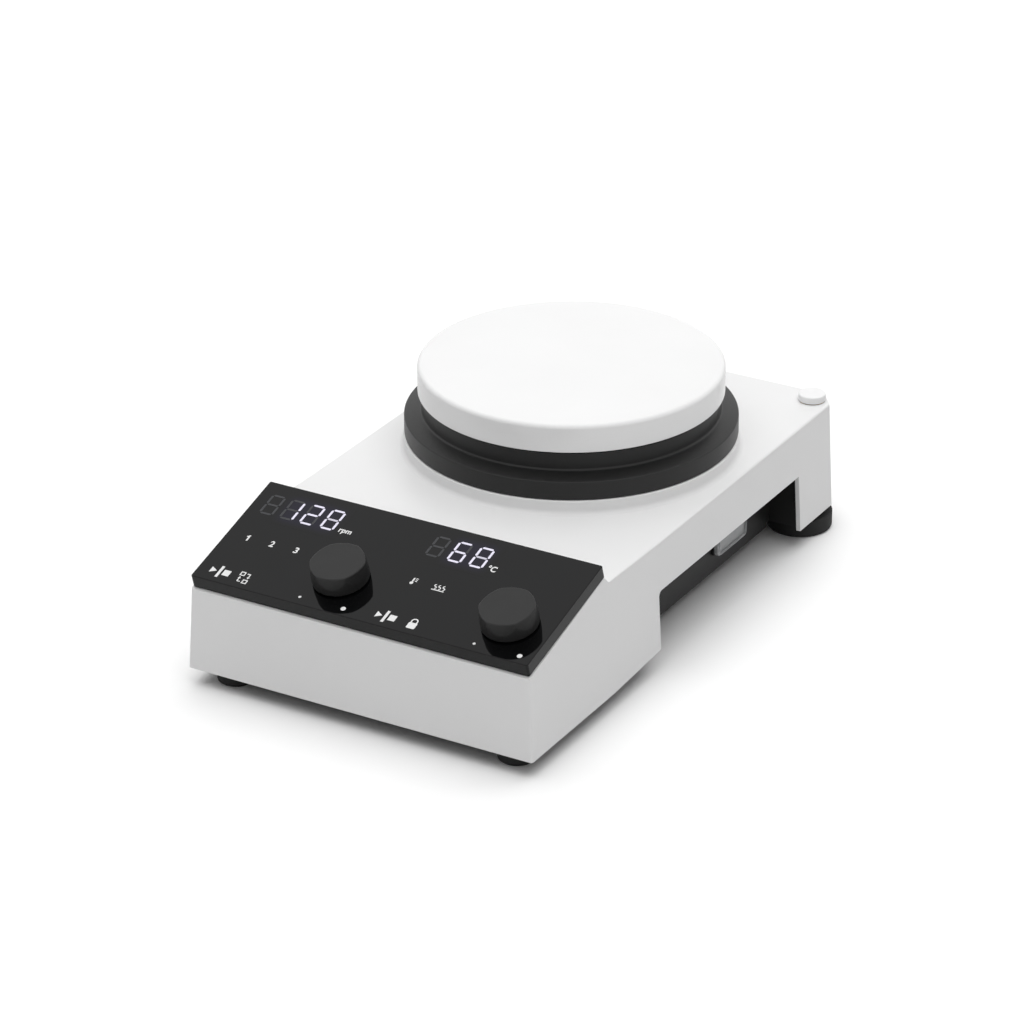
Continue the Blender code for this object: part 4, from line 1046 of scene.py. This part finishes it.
def disc(u, v, radius, sides=32, turn=0.0):
    """A flat regular shape: many sides make a dot, three make an arrow head."""
    bpy.ops.object.select_all(action="DESELECT")
    bpy.ops.mesh.primitive_circle_add(vertices=sides, radius=radius * mm, fill_type="NGON",
                                      location=(u * mm, v * mm, 0), rotation=(0, 0, math.radians(turn)))
    return settle()


def bow(u, v, radius, stroke, start, sweep, steps=16):
    """A flat curved stroke: a short edge spun about a point, between two angles in degrees."""
    angle = math.radians(start)
    bpy.ops.object.select_all(action="DESELECT")
    start_place = ((u + radius * math.cos(angle)) * mm, (v + radius * math.sin(angle)) * mm, 0)
    bpy.ops.mesh.primitive_plane_add(size=mm, location=start_place, rotation=(0, 0, angle))
    bpy.context.object.scale = (stroke, 0.001, 1)
    part = settle()
    bpy.ops.object.mode_set(mode="EDIT")
    bpy.ops.mesh.select_all(action="SELECT")
    bpy.ops.mesh.remove_doubles(threshold=0.01 * mm)
    bpy.ops.mesh.spin(steps=steps, angle=math.radians(-sweep), center=(u * mm, v * mm, 0), axis=(0, 0, 1))
    bpy.ops.mesh.select_all(action="SELECT")
    bpy.ops.mesh.remove_doubles(threshold=0.001 * mm)
    done()
    return part


def frame_of(u0, v0, u1, v1, stroke):
    """An open rectangle made of four strokes."""
    return [slab(u0, v0, u1, v0 + stroke), slab(u0, v1 - stroke, u1, v1),
            slab(u0, v0 + stroke, u0 + stroke, v1 - stroke), slab(u1 - stroke, v0 + stroke, u1, v1 - stroke)]


def lettering(text, u0, v0, u1, v1, boldness=0.025):
    """Letters scaled into a box, each stroke thickened by boldness in letter heights."""
    bpy.ops.object.select_all(action="DESELECT")
    bpy.ops.object.text_add(location=(0, 0, 0))
    part = bpy.context.object
    part.data.body = text
    part.data.offset = boldness
    bpy.ops.object.convert(target="MESH")
    part = bpy.context.object
    corners = [vertex.co for vertex in part.data.vertices]
    low = Vector((min(c.x for c in corners), min(c.y for c in corners), 0))
    high = Vector((max(c.x for c in corners), max(c.y for c in corners), 0))
    scale = Vector(((u1 - u0) * mm / (high.x - low.x), (v1 - v0) * mm / (high.y - low.y), 1))
    part.data.transform(Matrix.Translation((u0 * mm, v0 * mm, 0)) @ Matrix.Diagonal((*scale, 1))
                        @ Matrix.Translation(-low))
    return part


def print_on_panel(name, parts, finish, height=mark_height, lift=mark_lift):
    """Joins flat parts into one sheet, gives it its thickness and lays it on the panel."""
    sheet = joined(name, parts)
    open_piece(sheet)
    bpy.ops.mesh.select_mode(type="FACE")
    bpy.ops.mesh.select_all(action="SELECT")
    bpy.ops.mesh.normals_make_consistent(inside=False)
    pull((0, 0, height))
    bpy.ops.mesh.select_all(action="SELECT")
    bpy.ops.mesh.normals_make_consistent(inside=False)
    move((0, 0, lift))
    done()
    on_panel(sheet)
    dress(sheet, finish, "instrument")


# %% Seven bars for each digit
digit_width = 7.0
digit_height = 12.6
bar_stroke = 1.05
bar_gap = 0.3
bar_point = 0.95 * bar_stroke / 2
bar_places = {                  # where each bar runs, in shares of the digit: from, to
    "top": ((0, 1), (1, 1)), "middle": ((0, 0.5), (1, 0.5)), "bottom": ((0, 0), (1, 0)),
    "upper_left": ((0, 0.5), (0, 1)), "upper_right": ((1, 0.5), (1, 1)),
    "lower_left": ((0, 0), (0, 0.5)), "lower_right": ((1, 0), (1, 0.5)),
}
ring_bars = ("top", "upper_left", "upper_right", "lower_left", "lower_right", "bottom")
digits = {                      # lower left corner on the panel, lit bars, faintly lit bars
    "speed_thousands": (-75.5, 12.5, (), ()),
    "speed_hundreds": (-65.5, 12.5, ("upper_right", "lower_right"), ()),
    "speed_tens": (-55.5, 12.6, ("top", "upper_right", "middle", "lower_left", "bottom"), ()),
    "speed_ones": (-45.4, 12.8, ring_bars, ("middle",)),
    "heat_hundreds": (6.5, 13.0, (), ()),
    "heat_tens": (17.0, 13.0, ("top", "upper_left", "middle", "lower_left", "lower_right", "bottom"), ()),
    "heat_ones": (27.4, 13.1, ring_bars, ("middle",)),
}


def bar(corner_u, corner_v, start, end):
    """One bar with pointed ends, between two places of the digit."""
    half = bar_stroke / 2
    run_u = digit_width - bar_stroke
    run_v = digit_height - bar_stroke
    u0, v0 = corner_u + half + start[0] * run_u, corner_v + half + start[1] * run_v
    u1, v1 = corner_u + half + end[0] * run_u, corner_v + half + end[1] * run_v
    if start[1] == end[1]:
        return slab(u0 + bar_gap, v0 - half, u1 - bar_gap, v0 + half, bar_point)
    return slab(u0 - half, v0 + bar_gap, u0 + half, v1 - bar_gap, bar_point)


for digit_name, (corner_u, corner_v, lit, faint) in digits.items():
    states = {"lit": lit, "faint": faint, "unlit": [name for name in bar_places if name not in lit + faint]}
    for state, names in states.items():
        if names:
            bars = [bar(corner_u, corner_v, *bar_places[name]) for name in names]
            print_on_panel(f"{digit_name}_{state}", bars, f"{state}_bar")

# %% The glow round the lit digits
glow_height = 0.01 * mm
glow_lift = 0.005 * mm
glows = {"speed_glow": (-69.5, 8.5, -35.0, 29.0), "heat_glow": (13.0, 9.0, 38.0, 30.0)}
for glow_name, corners in glows.items():
    sheet = slab(*corners)
    sheet.data.uv_layers[0].name = "sheet"
    print_on_panel(glow_name, [sheet], "display_glow", glow_height, glow_lift)

# %% Numbers, units and signs
def start_stop_sign(u, v):
    return [disc(u + 1.3, v + 2.05, 2.0, 3, -90), slab(u + 4.2, v - 1.5, u + 5.5, v + 5.4),
            slab(u + 6.5, v + 0.3, u + 9.8, v + 3.7)]


def lock_sign(u, v):
    return [slab(u, v, u + 4.0, v + 3.5, 0.4), bow(u + 2, v + 4.4, 1.3, 0.6, 0, 180),
            slab(u + 0.4, v + 3.5, u + 1.0, v + 4.4), slab(u + 3.0, v + 3.5, u + 3.6, v + 4.4)]


def change_sign(u, v):
    """Two frames that change places, with an arrow for each way."""
    return (frame_of(u, v + 4.2, u + 2.4, v + 6.6, 0.5) + frame_of(u + 3.2, v, u + 5.6, v + 2.4, 0.5)
            + [slab(u + 3.2, v + 5.6, u + 4.6, v + 6.1), slab(u + 4.4, v + 4.2, u + 4.9, v + 6.1),
               disc(u + 4.65, v + 3.7, 0.8, 3, 180), slab(u + 1.0, v + 0.5, u + 2.4, v + 1.0),
               slab(u + 0.7, v + 0.5, u + 1.2, v + 2.4), disc(u + 0.95, v + 2.9, 0.8, 3, 0)])


def probe_sign(u, v):
    return [disc(u, v + 0.8, 0.8), slab(u - 0.35, v + 1.3, u + 0.35, v + 3.9),
            slab(u + 0.9, v + 1.9, u + 1.9, v + 2.3), slab(u + 0.9, v + 2.7, u + 1.9, v + 3.1),
            slab(u + 0.9, v + 3.5, u + 1.9, v + 3.9)]


def heat_sign(u, v):
    waves = [slab(u - 3, v, u + 3, v + 0.5)]
    for offset in (-2, 0, 2):
        waves += [bow(u + offset, v + 1.6, 0.6, 0.45, -90, 180),
                  bow(u + offset, v + 2.8, 0.6, 0.45, 270, -180)]
    return waves


printed = {
    "memory_1": [slab(-70.95, -5.0, -70.2, -1.5), slab(-71.7, -2.7, -70.95, -2.1)],
    "memory_2": [lettering("2", -59.7, -5.0, -57.6, -1.4)],
    "memory_3": [lettering("3", -47.6, -5.0, -45.6, -1.4)],
    "speed_unit": [lettering("rpm", -36.0, 12.4, -29.9, 15.4)],
    "heat_unit": [lettering("\u00b0C", 36.6, 13.0, 40.7, 16.6)],
    "speed_start_stop": start_stop_sign(-75.6, -27.9),
    "heat_start_stop": start_stop_sign(6.1, -28.2),
    "change_over": change_sign(-61.6, -29.2),
    "key_lock": lock_sign(22.2, -29.2),
    "probe_in_use": probe_sign(10.6, -5.1),
    "heater_in_use": heat_sign(23.5, -5.1),
    "speed_low": [disc(-29.65, -28.1, 0.65)],
    "speed_high": [disc(-8.35, -28.2, 1.15)],
    "heat_low": [disc(54.3, -28.1, 0.65)],
    "heat_high": [disc(75.7, -28.2, 1.15)],
}
for mark_name, parts in printed.items():
    print_on_panel("mark_" + mark_name, parts, "printed_mark")

# %% [markdown]
# ## The base tray
# A black moulded tray closes the housing from below. Between the recesses it has a waist with a lower floor
# and high walls, which fill the view through each recess. Posts take the foot screws and pegs carry the power
# board. It starts as a block trimmed to the housing's inside, and the rest is added to it or cut out of it.
# Faces that lie exactly in one plane confuse such cuts, so added shapes stand a hair inside their neighbours.

# %% The tray and its waist
tray_gap = 0.4 * mm
tray_bottom = 9.9 * mm
tray_lip = 22 * mm
tray_wall = 2 * mm
tray_floor = tray_bottom + tray_wall
tray_edge = 0.6 * mm
waist = 66.5 * mm
waist_front = recess_front - 1.5 * mm
waist_back = recess_back + 3.2 * mm
waist_bottom = 7.3 * mm
waist_corner = 3 * mm
waist_edge = 0.8 * mm
wall_reach = 79 * mm
wall_top = deck - 2.8 * mm
seam = 0.02 * mm                # how far added shapes stand inside the walls next to them
ledge_width = 0.5 * mm

tray = start_piece("tray", (-half_width, -half_length, tray_bottom), (half_width, half_length, tray_lip))
trim_to_sides(shell_wall + tray_gap)
round_edges(tray_edge, 3, lambda e: max(v.co.z for v in e.verts) < tray_bottom + near)
pick("FACE", lambda f: f.normal.z > 0.9)
sink(tray_wall, (0, 0, tray_floor - tray_lip))
done()

ledge = Vector((tray_wall + ledge_width, tray_wall + ledge_width, 0))
boolean(tray, block("floor_opening", Vector((-waist, waist_front, 0)) + ledge,
                    Vector((waist, waist_back, tray_lip)) - ledge))
pan_top = tray_bottom + mm
waist_pan = start_piece("waist_pan", (seam - waist, waist_front + seam, waist_bottom),
                        (waist - seam, waist_back - seam, pan_top))
round_edges(waist_corner, 5, lambda e: lies_along(e, upright))
round_edges(waist_edge, 4, lambda e: max(v.co.z for v in e.verts) < waist_bottom + near)
pick("FACE", lambda f: f.normal.z > 0.9)
sink(tray_wall, (0, 0, waist_bottom + tray_wall - pan_top))
done()
boolean(tray, waist_pan, "UNION")
for side in (-1, 1):
    wall = block("waist_wall", (side * (waist - tray_wall), waist_front - tray_wall, pan_top),
                 (side * wall_reach, waist_back + tray_wall, wall_top))
    boolean(tray, wall, "UNION")
    boolean(tray, block("recess_room", (side * waist, waist_front, 0), (side * half_width, waist_back, deck)))

# %% Posts, pegs and holes of the tray
foot_posts = {                  # radius and top of each post, and the radius of the boss under it
    "front": (7 * mm, 23 * mm, 7.5 * mm),
    "rear": (13.2 * mm, 34.5 * mm, 10.5 * mm),
}
foot_screw_hole = 2.2 * mm
for end, (post_radius, post_top, foot_boss) in foot_posts.items():
    for side in sides:
        place = middle(f"foot_{end}_{side}")
        foot_post = post("post", place, post_radius, pan_top, post_top)
        open_piece(foot_post)
        trim_to_sides(shell_wall + tray_gap + seam)
        done()
        boolean(tray, foot_post, "UNION")
        foot_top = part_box(f"foot_{end}_{side}")[1].z
        screw_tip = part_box(f"foot_screw_{end}_{side}")[1].z
        boolean(tray, post("foot_boss", place, foot_boss, foot_top + gap, pan_top), "UNION")
        boolean(tray, post("foot_screw_hole", place, foot_screw_hole, 0, screw_tip + 2 * gap, hole_sides))
        screw_place = middle(f"housing_screw_{end}_{side}")
        boolean(tray, post("screw_hole", screw_place, pilot_radius, 0, tray_floor + mm, hole_sides))

peg_radius = 3 * mm
peg_inset = 5 * mm
board_low, board_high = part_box("power_board")
for x in (board_low.x + peg_inset, board_high.x - peg_inset):
    for y in (board_low.y + peg_inset, board_high.y - peg_inset):
        boolean(tray, post("peg", (x, y), peg_radius, waist_bottom + mm, board_low.z - gap, hole_sides),
                "UNION")

switch_low, switch_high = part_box("switch_frame")
switch_middle = middle("switch_frame")
body_half_length = 11.8 * mm
body_half_height = 8.5 * mm
switch_size = Vector((0, body_half_length, body_half_height))
hole_room = switch_size + Vector((2 * tray_wall, gap, gap))
switch_place = Vector((waist, switch_middle.y, switch_middle.z))
boolean(tray, block("switch_hole", switch_place - hole_room, switch_place + hole_room))
notch_depth = 3.2 * tray_wall
boolean(tray, block("inlet_notch", (inlet_low.x - inlet_gap, half_length - notch_depth, tray_floor),
                    (inlet_high.x + inlet_gap, half_length, tray_lip + mm)))
dress(tray, "black_plastic", "instrument", "base_tray")

# %% [markdown]
# ## The mains switch
# The switch sits in the wall of the waist: a frame with a deep well, a rocker that tips in it and a soft,
# translucent cover that keeps spills out. The rocker's face is two planes that meet in a shallow valley, so
# one half always stands out. The cover is a thin skin inside a thicker rim, which catches the light.

# %% The frame of the switch
bezel_thickness = 1.0 * mm
bezel_corner = 2.0 * mm
bezel_edge = 0.25 * mm
well_wall = 1.2 * mm
well_depth = 11.2 * mm
well_corner = 0.8 * mm
switch_face = switch_high.x

bezel = start_piece("switch_bezel", (switch_face - bezel_thickness, switch_low.y, switch_low.z), switch_high)
round_edges(bezel_corner, 5, lambda e: lies_along(e, across))
round_edges(bezel_edge, 2, lambda e: min(v.co.x for v in e.verts) > switch_face - near)
done()
face_middle = Vector((switch_face - bezel_thickness / 2, switch_middle.y, switch_middle.z))
switch_body_back = Vector((switch_low.x, *(face_middle - switch_size)[1:]))
boolean(bezel, block("switch_body", switch_body_back, face_middle + switch_size), "UNION")
well_size = switch_size - Vector((0, well_wall, well_wall))
well = start_piece("well", face_middle - well_size + across * (bezel_thickness / 2 - well_depth),
                   face_middle + well_size + across * mm)
round_edges(well_corner, 4, lambda e: lies_along(e, across))
done()
boolean(bezel, well)
dress(bezel, "black_plastic", "instrument", "switch_frame")

# %% The rocker
rocker_reach = 9.6 * mm
rocker_half_height = 6.9 * mm
rocker_back = 2.2 * mm
rocker_crown = 4.2 * mm
rocker_valley = 3.0 * mm
rocker_edge = 0.35 * mm
rocker_tilt = math.radians(7)
pivot_depth = 4.5 * mm

rocker = start_piece("rocker_cap", (-rocker_back, -rocker_reach, -rocker_half_height),
                     (rocker_crown, rocker_reach, rocker_half_height))
slice_off((0, 0, 0), lengthwise, keep_both=True)
pick("VERT", lambda v: v.co.x > rocker_crown - near and abs(v.co.y) < near)
move((rocker_valley - rocker_crown, 0, 0))
round_edges(rocker_edge, 3, is_sharp)
done()
pivot = Vector((switch_face - pivot_depth, switch_middle.y, switch_middle.z))
rocker.data.transform(Matrix.Translation(pivot) @ Matrix.Rotation(rocker_tilt, 4, "Z"))
dress(rocker, "black_plastic", "switch_rocker", "power_rocker")

# %% The splash cover
cover_low, cover_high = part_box("splash_cover")
cover_corner = 2.6 * mm
cover_edge = 0.4 * mm
cover_wall = 0.8 * mm
cover_rim = 1.3 * mm
cover_skin = 0.4 * mm

cover = start_piece("soft_cover", cover_low, cover_high)
round_edges(cover_corner, 6, lambda e: lies_along(e, across))
round_edges(cover_edge, 3, lambda e: min(v.co.x for v in e.verts) > cover_high.x - near)
pick("FACE", lambda f: f.normal.x > 0.9)
sink(cover_rim, across * (cover_skin - cover_wall))
pick("FACE", lambda f: f.normal.x < -0.9)
sink(cover_wall, across * (cover_high.x - cover_low.x - cover_wall))
done()
dress(cover, "clear_cover", "instrument", "splash_cover")

# %% [markdown]
# ## The socket for a support rod
# A brass insert in the rear right corner takes a support rod. When no rod is fitted, a white plug closes it.
# Both are round and spun from a profile.

# %% Insert and plug
insert_bore = 4.25 * mm
insert_edge = 0.4 * mm
insert_profile = [(insert_bore, insert_low.z), (insert_radius, insert_low.z),
                  (insert_radius, insert_high.z - insert_edge), (insert_radius - insert_edge, insert_high.z),
                  (insert_bore + insert_edge, insert_high.z), (insert_bore, insert_high.z - insert_edge)]
insert = turned_piece("brass_insert", insert_profile, insert_place.xy, 64, closed=True)
dress(insert, "brass", "instrument", "rod_insert")

plug_low, plug_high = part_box("rod_socket_plug")
plug_radius = (plug_high.x - plug_low.x) / 2
plug_head = plug_high.z - 3.2 * mm
plug_edge = 0.7 * mm
plug_lower_edge = 0.3 * mm
stem_radius = 3.85 * mm
stem_edge = 0.6 * mm
plug_profile = [(0, plug_low.z)]
plug_profile += arc(stem_radius - stem_edge, plug_low.z + stem_edge, stem_edge, 270, 360, 4)
plug_profile.append((stem_radius, plug_head))
plug_profile += arc(plug_radius - plug_lower_edge, plug_head + plug_lower_edge, plug_lower_edge, 270, 360, 3)
plug_profile += arc(plug_radius - plug_edge, plug_high.z - plug_edge, plug_edge, 0, 90, 6)
plug_profile.append((0, plug_high.z))
plug = turned_piece("socket_cap", plug_profile, insert_place.xy, 96)
dress(plug, "white_plastic", "socket_plug", "rod_socket_plug")

# %% [markdown]
# ## The sockets in the rear wall
# The mains inlet is a block behind the rear wall with a flange, a cavity with two cut corners for the plug
# and a slot for the fuse drawer above it. Its three blades are steel. Beside it a round steel cup takes the
# plug of a temperature probe, with an insulating core that has a hole for each pin.

# %% The mains inlet
flange_front = 4.0 * mm         # before the inlet's outer face
inlet_wall = 2.0 * mm
plug_cavity_height = 16.5 * mm
plug_cavity_depth = 17 * mm
plug_cavity_cut = 4 * mm
plug_cavity_corner = 1 * mm
drawer_low, drawer_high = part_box("fuse_drawer")
drawer_gap = 0.4 * mm

frame_inset = Vector((inlet_flange, 0, inlet_flange))
inlet = block("inlet_socket", inlet_low + frame_inset, inlet_high - frame_inset)
flange = block("flange", (inlet_low.x, inlet_high.y - flange_front, inlet_low.z),
               (inlet_high.x, inlet_high.y - flange_front + inlet_flange, inlet_high.z))
boolean(inlet, flange, "UNION")
cavity_low = Vector((inlet_low.x + inlet_flange + inlet_wall, inlet_high.y - plug_cavity_depth,
                     inlet_low.z + inlet_flange + inlet_wall))
cavity_high = Vector((inlet_high.x - inlet_flange - inlet_wall, inlet_high.y + mm,
                      cavity_low.z + plug_cavity_height))
cavity = start_piece("plug_cavity", cavity_low, cavity_high)
round_edges(plug_cavity_cut, 1, lambda e: lies_along(e, lengthwise)
            and e.verts[0].co.z > cavity_high.z - near)
round_edges(plug_cavity_corner, 4, lambda e: lies_along(e, lengthwise)
            and e.verts[0].co.z < cavity_low.z + near)
done()
boolean(inlet, cavity)
drawer_room = Vector((drawer_gap, drawer_gap, drawer_gap))
boolean(inlet, block("drawer_slot", drawer_low - drawer_room, drawer_high + drawer_room + lengthwise * mm))
dress(inlet, "black_plastic", "instrument", "power_inlet")

blade_size = Vector((2, 16, 4)) * mm
blade_spacing = 7 * mm
blade_step = 2 * mm             # the middle blade stands higher, the outer ones lower
blade_tip = 0.5 * mm
cavity_middle = (cavity_low + cavity_high) / 2
blades = []
for index in (-1, 0, 1):
    blade_middle = Vector((cavity_middle.x + index * blade_spacing,
                           cavity_low.y + blade_size.y / 2 - inlet_wall,
                           cavity_middle.z + (blade_step if index == 0 else -blade_step)))
    blade = start_piece("blade", blade_middle - blade_size / 2, blade_middle + blade_size / 2)
    tip = blade_middle.y + blade_size.y / 2
    round_edges(blade_tip, 2, lambda e: min(v.co.y for v in e.verts) > tip - near)
    done()
    blades.append(blade)
dress(joined("inlet_blades", blades), "bright_steel", "instrument")

# %% The fuse drawer
drawer_edge = 0.35 * mm
notch_radius = 2.4 * mm
notch_length = 8 * mm
drawer = start_piece("fuse_drawer_box", drawer_low, drawer_high)
round_edges(drawer_edge, 3, is_sharp)
done()
drawer_middle = middle("fuse_drawer")
notch_place = (drawer_middle.x, drawer_high.y + notch_radius / 2, drawer_high.z)
boolean(drawer, rod("notch", notch_radius, notch_length, notch_place, 48, (0, math.pi / 2, 0)))
dress(drawer, "black_plastic", "fuse_carrier", "fuse_drawer")

# %% The probe socket
probe_bore = 4.2 * mm
probe_floor = 2 * mm
probe_edge = 0.4 * mm
core_depth = 3 * mm             # the core's face lies this far inside the cup
core_gap = 0.05 * mm
pin_hole = 0.5 * mm
pin_circle = 2.4 * mm
pin_holes = 5
pin_step = 60                   # degrees, which leaves one place free
first_pin = -30
pin_sides = 16
probe_low, probe_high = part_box("probe_socket")
probe_length = probe_high.y - probe_low.y
facing_rear = (Matrix.Translation((probe_place.x, probe_low.y, probe_place.z))
               @ Matrix.Rotation(-math.pi / 2, 4, "X"))

cup_profile = [(0, 0), (probe_radius, 0)]
cup_profile += arc(probe_radius - probe_edge, probe_length - probe_edge, probe_edge, 0, 90, 4)
cup_profile += [(probe_bore + probe_edge, probe_length), (probe_bore, probe_length - probe_edge),
                (probe_bore, probe_floor), (0, probe_floor)]
cup = turned_piece("probe_cup", cup_profile, (0, 0), 64)
cup.data.transform(facing_rear)
dress(cup, "bright_steel", "instrument", "probe_socket")

core = post("probe_core", (0, 0), probe_bore - core_gap, probe_floor + core_gap, probe_length - core_depth)
for index in range(pin_holes):
    angle = math.radians(first_pin + pin_step * index)
    place = (pin_circle * math.cos(angle), pin_circle * math.sin(angle))
    boolean(core, post("pin_hole", place, pin_hole, 2 * probe_floor, probe_length, pin_sides))
core.data.transform(facing_rear)
dress(core, "black_plastic", "instrument")

# %% [markdown]
# ## The feet
# Each foot is a turned rubber puck with a rounded bottom edge, a thin groove under the housing and a bore
# for its screw. The two under the front are smaller than those under the rear legs. One of each size is spun
# and the other is a copy.

# %% Four feet
foot_bore = 4.6 * mm
foot_bore_depth = 5.7 * mm
foot_hole = 2.2 * mm
foot_groove = 0.3 * mm
for end, foot_edge in (("front", 1.6 * mm), ("rear", 1.5 * mm)):
    foot_low, foot_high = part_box(f"foot_{end}_left")
    foot_radius = (foot_high.x - foot_low.x) / 2
    foot_profile = [(foot_bore, 0)]
    foot_profile += arc(foot_radius - foot_edge, foot_edge, foot_edge, 270, 360, 7)
    foot_profile += [(foot_radius, foot_high.z - foot_groove), (foot_radius - foot_groove, foot_high.z),
                     (foot_hole, foot_high.z), (foot_hole, foot_bore_depth), (foot_bore, foot_bore_depth)]
    left_foot = turned_piece(f"rubber_foot_{end}_left", foot_profile,
                             (foot_low.x + foot_radius, foot_low.y + foot_radius), 72, closed=True)
    right_foot = copy_piece(left_foot, f"rubber_foot_{end}_right")
    right_foot.data.transform(Matrix.Translation((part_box(f"foot_{end}_right")[0].x - foot_low.x, 0, 0)))
    dress(left_foot, "black_rubber", "instrument", f"foot_{end}_left")
    dress(right_foot, "black_rubber", "instrument", f"foot_{end}_right")
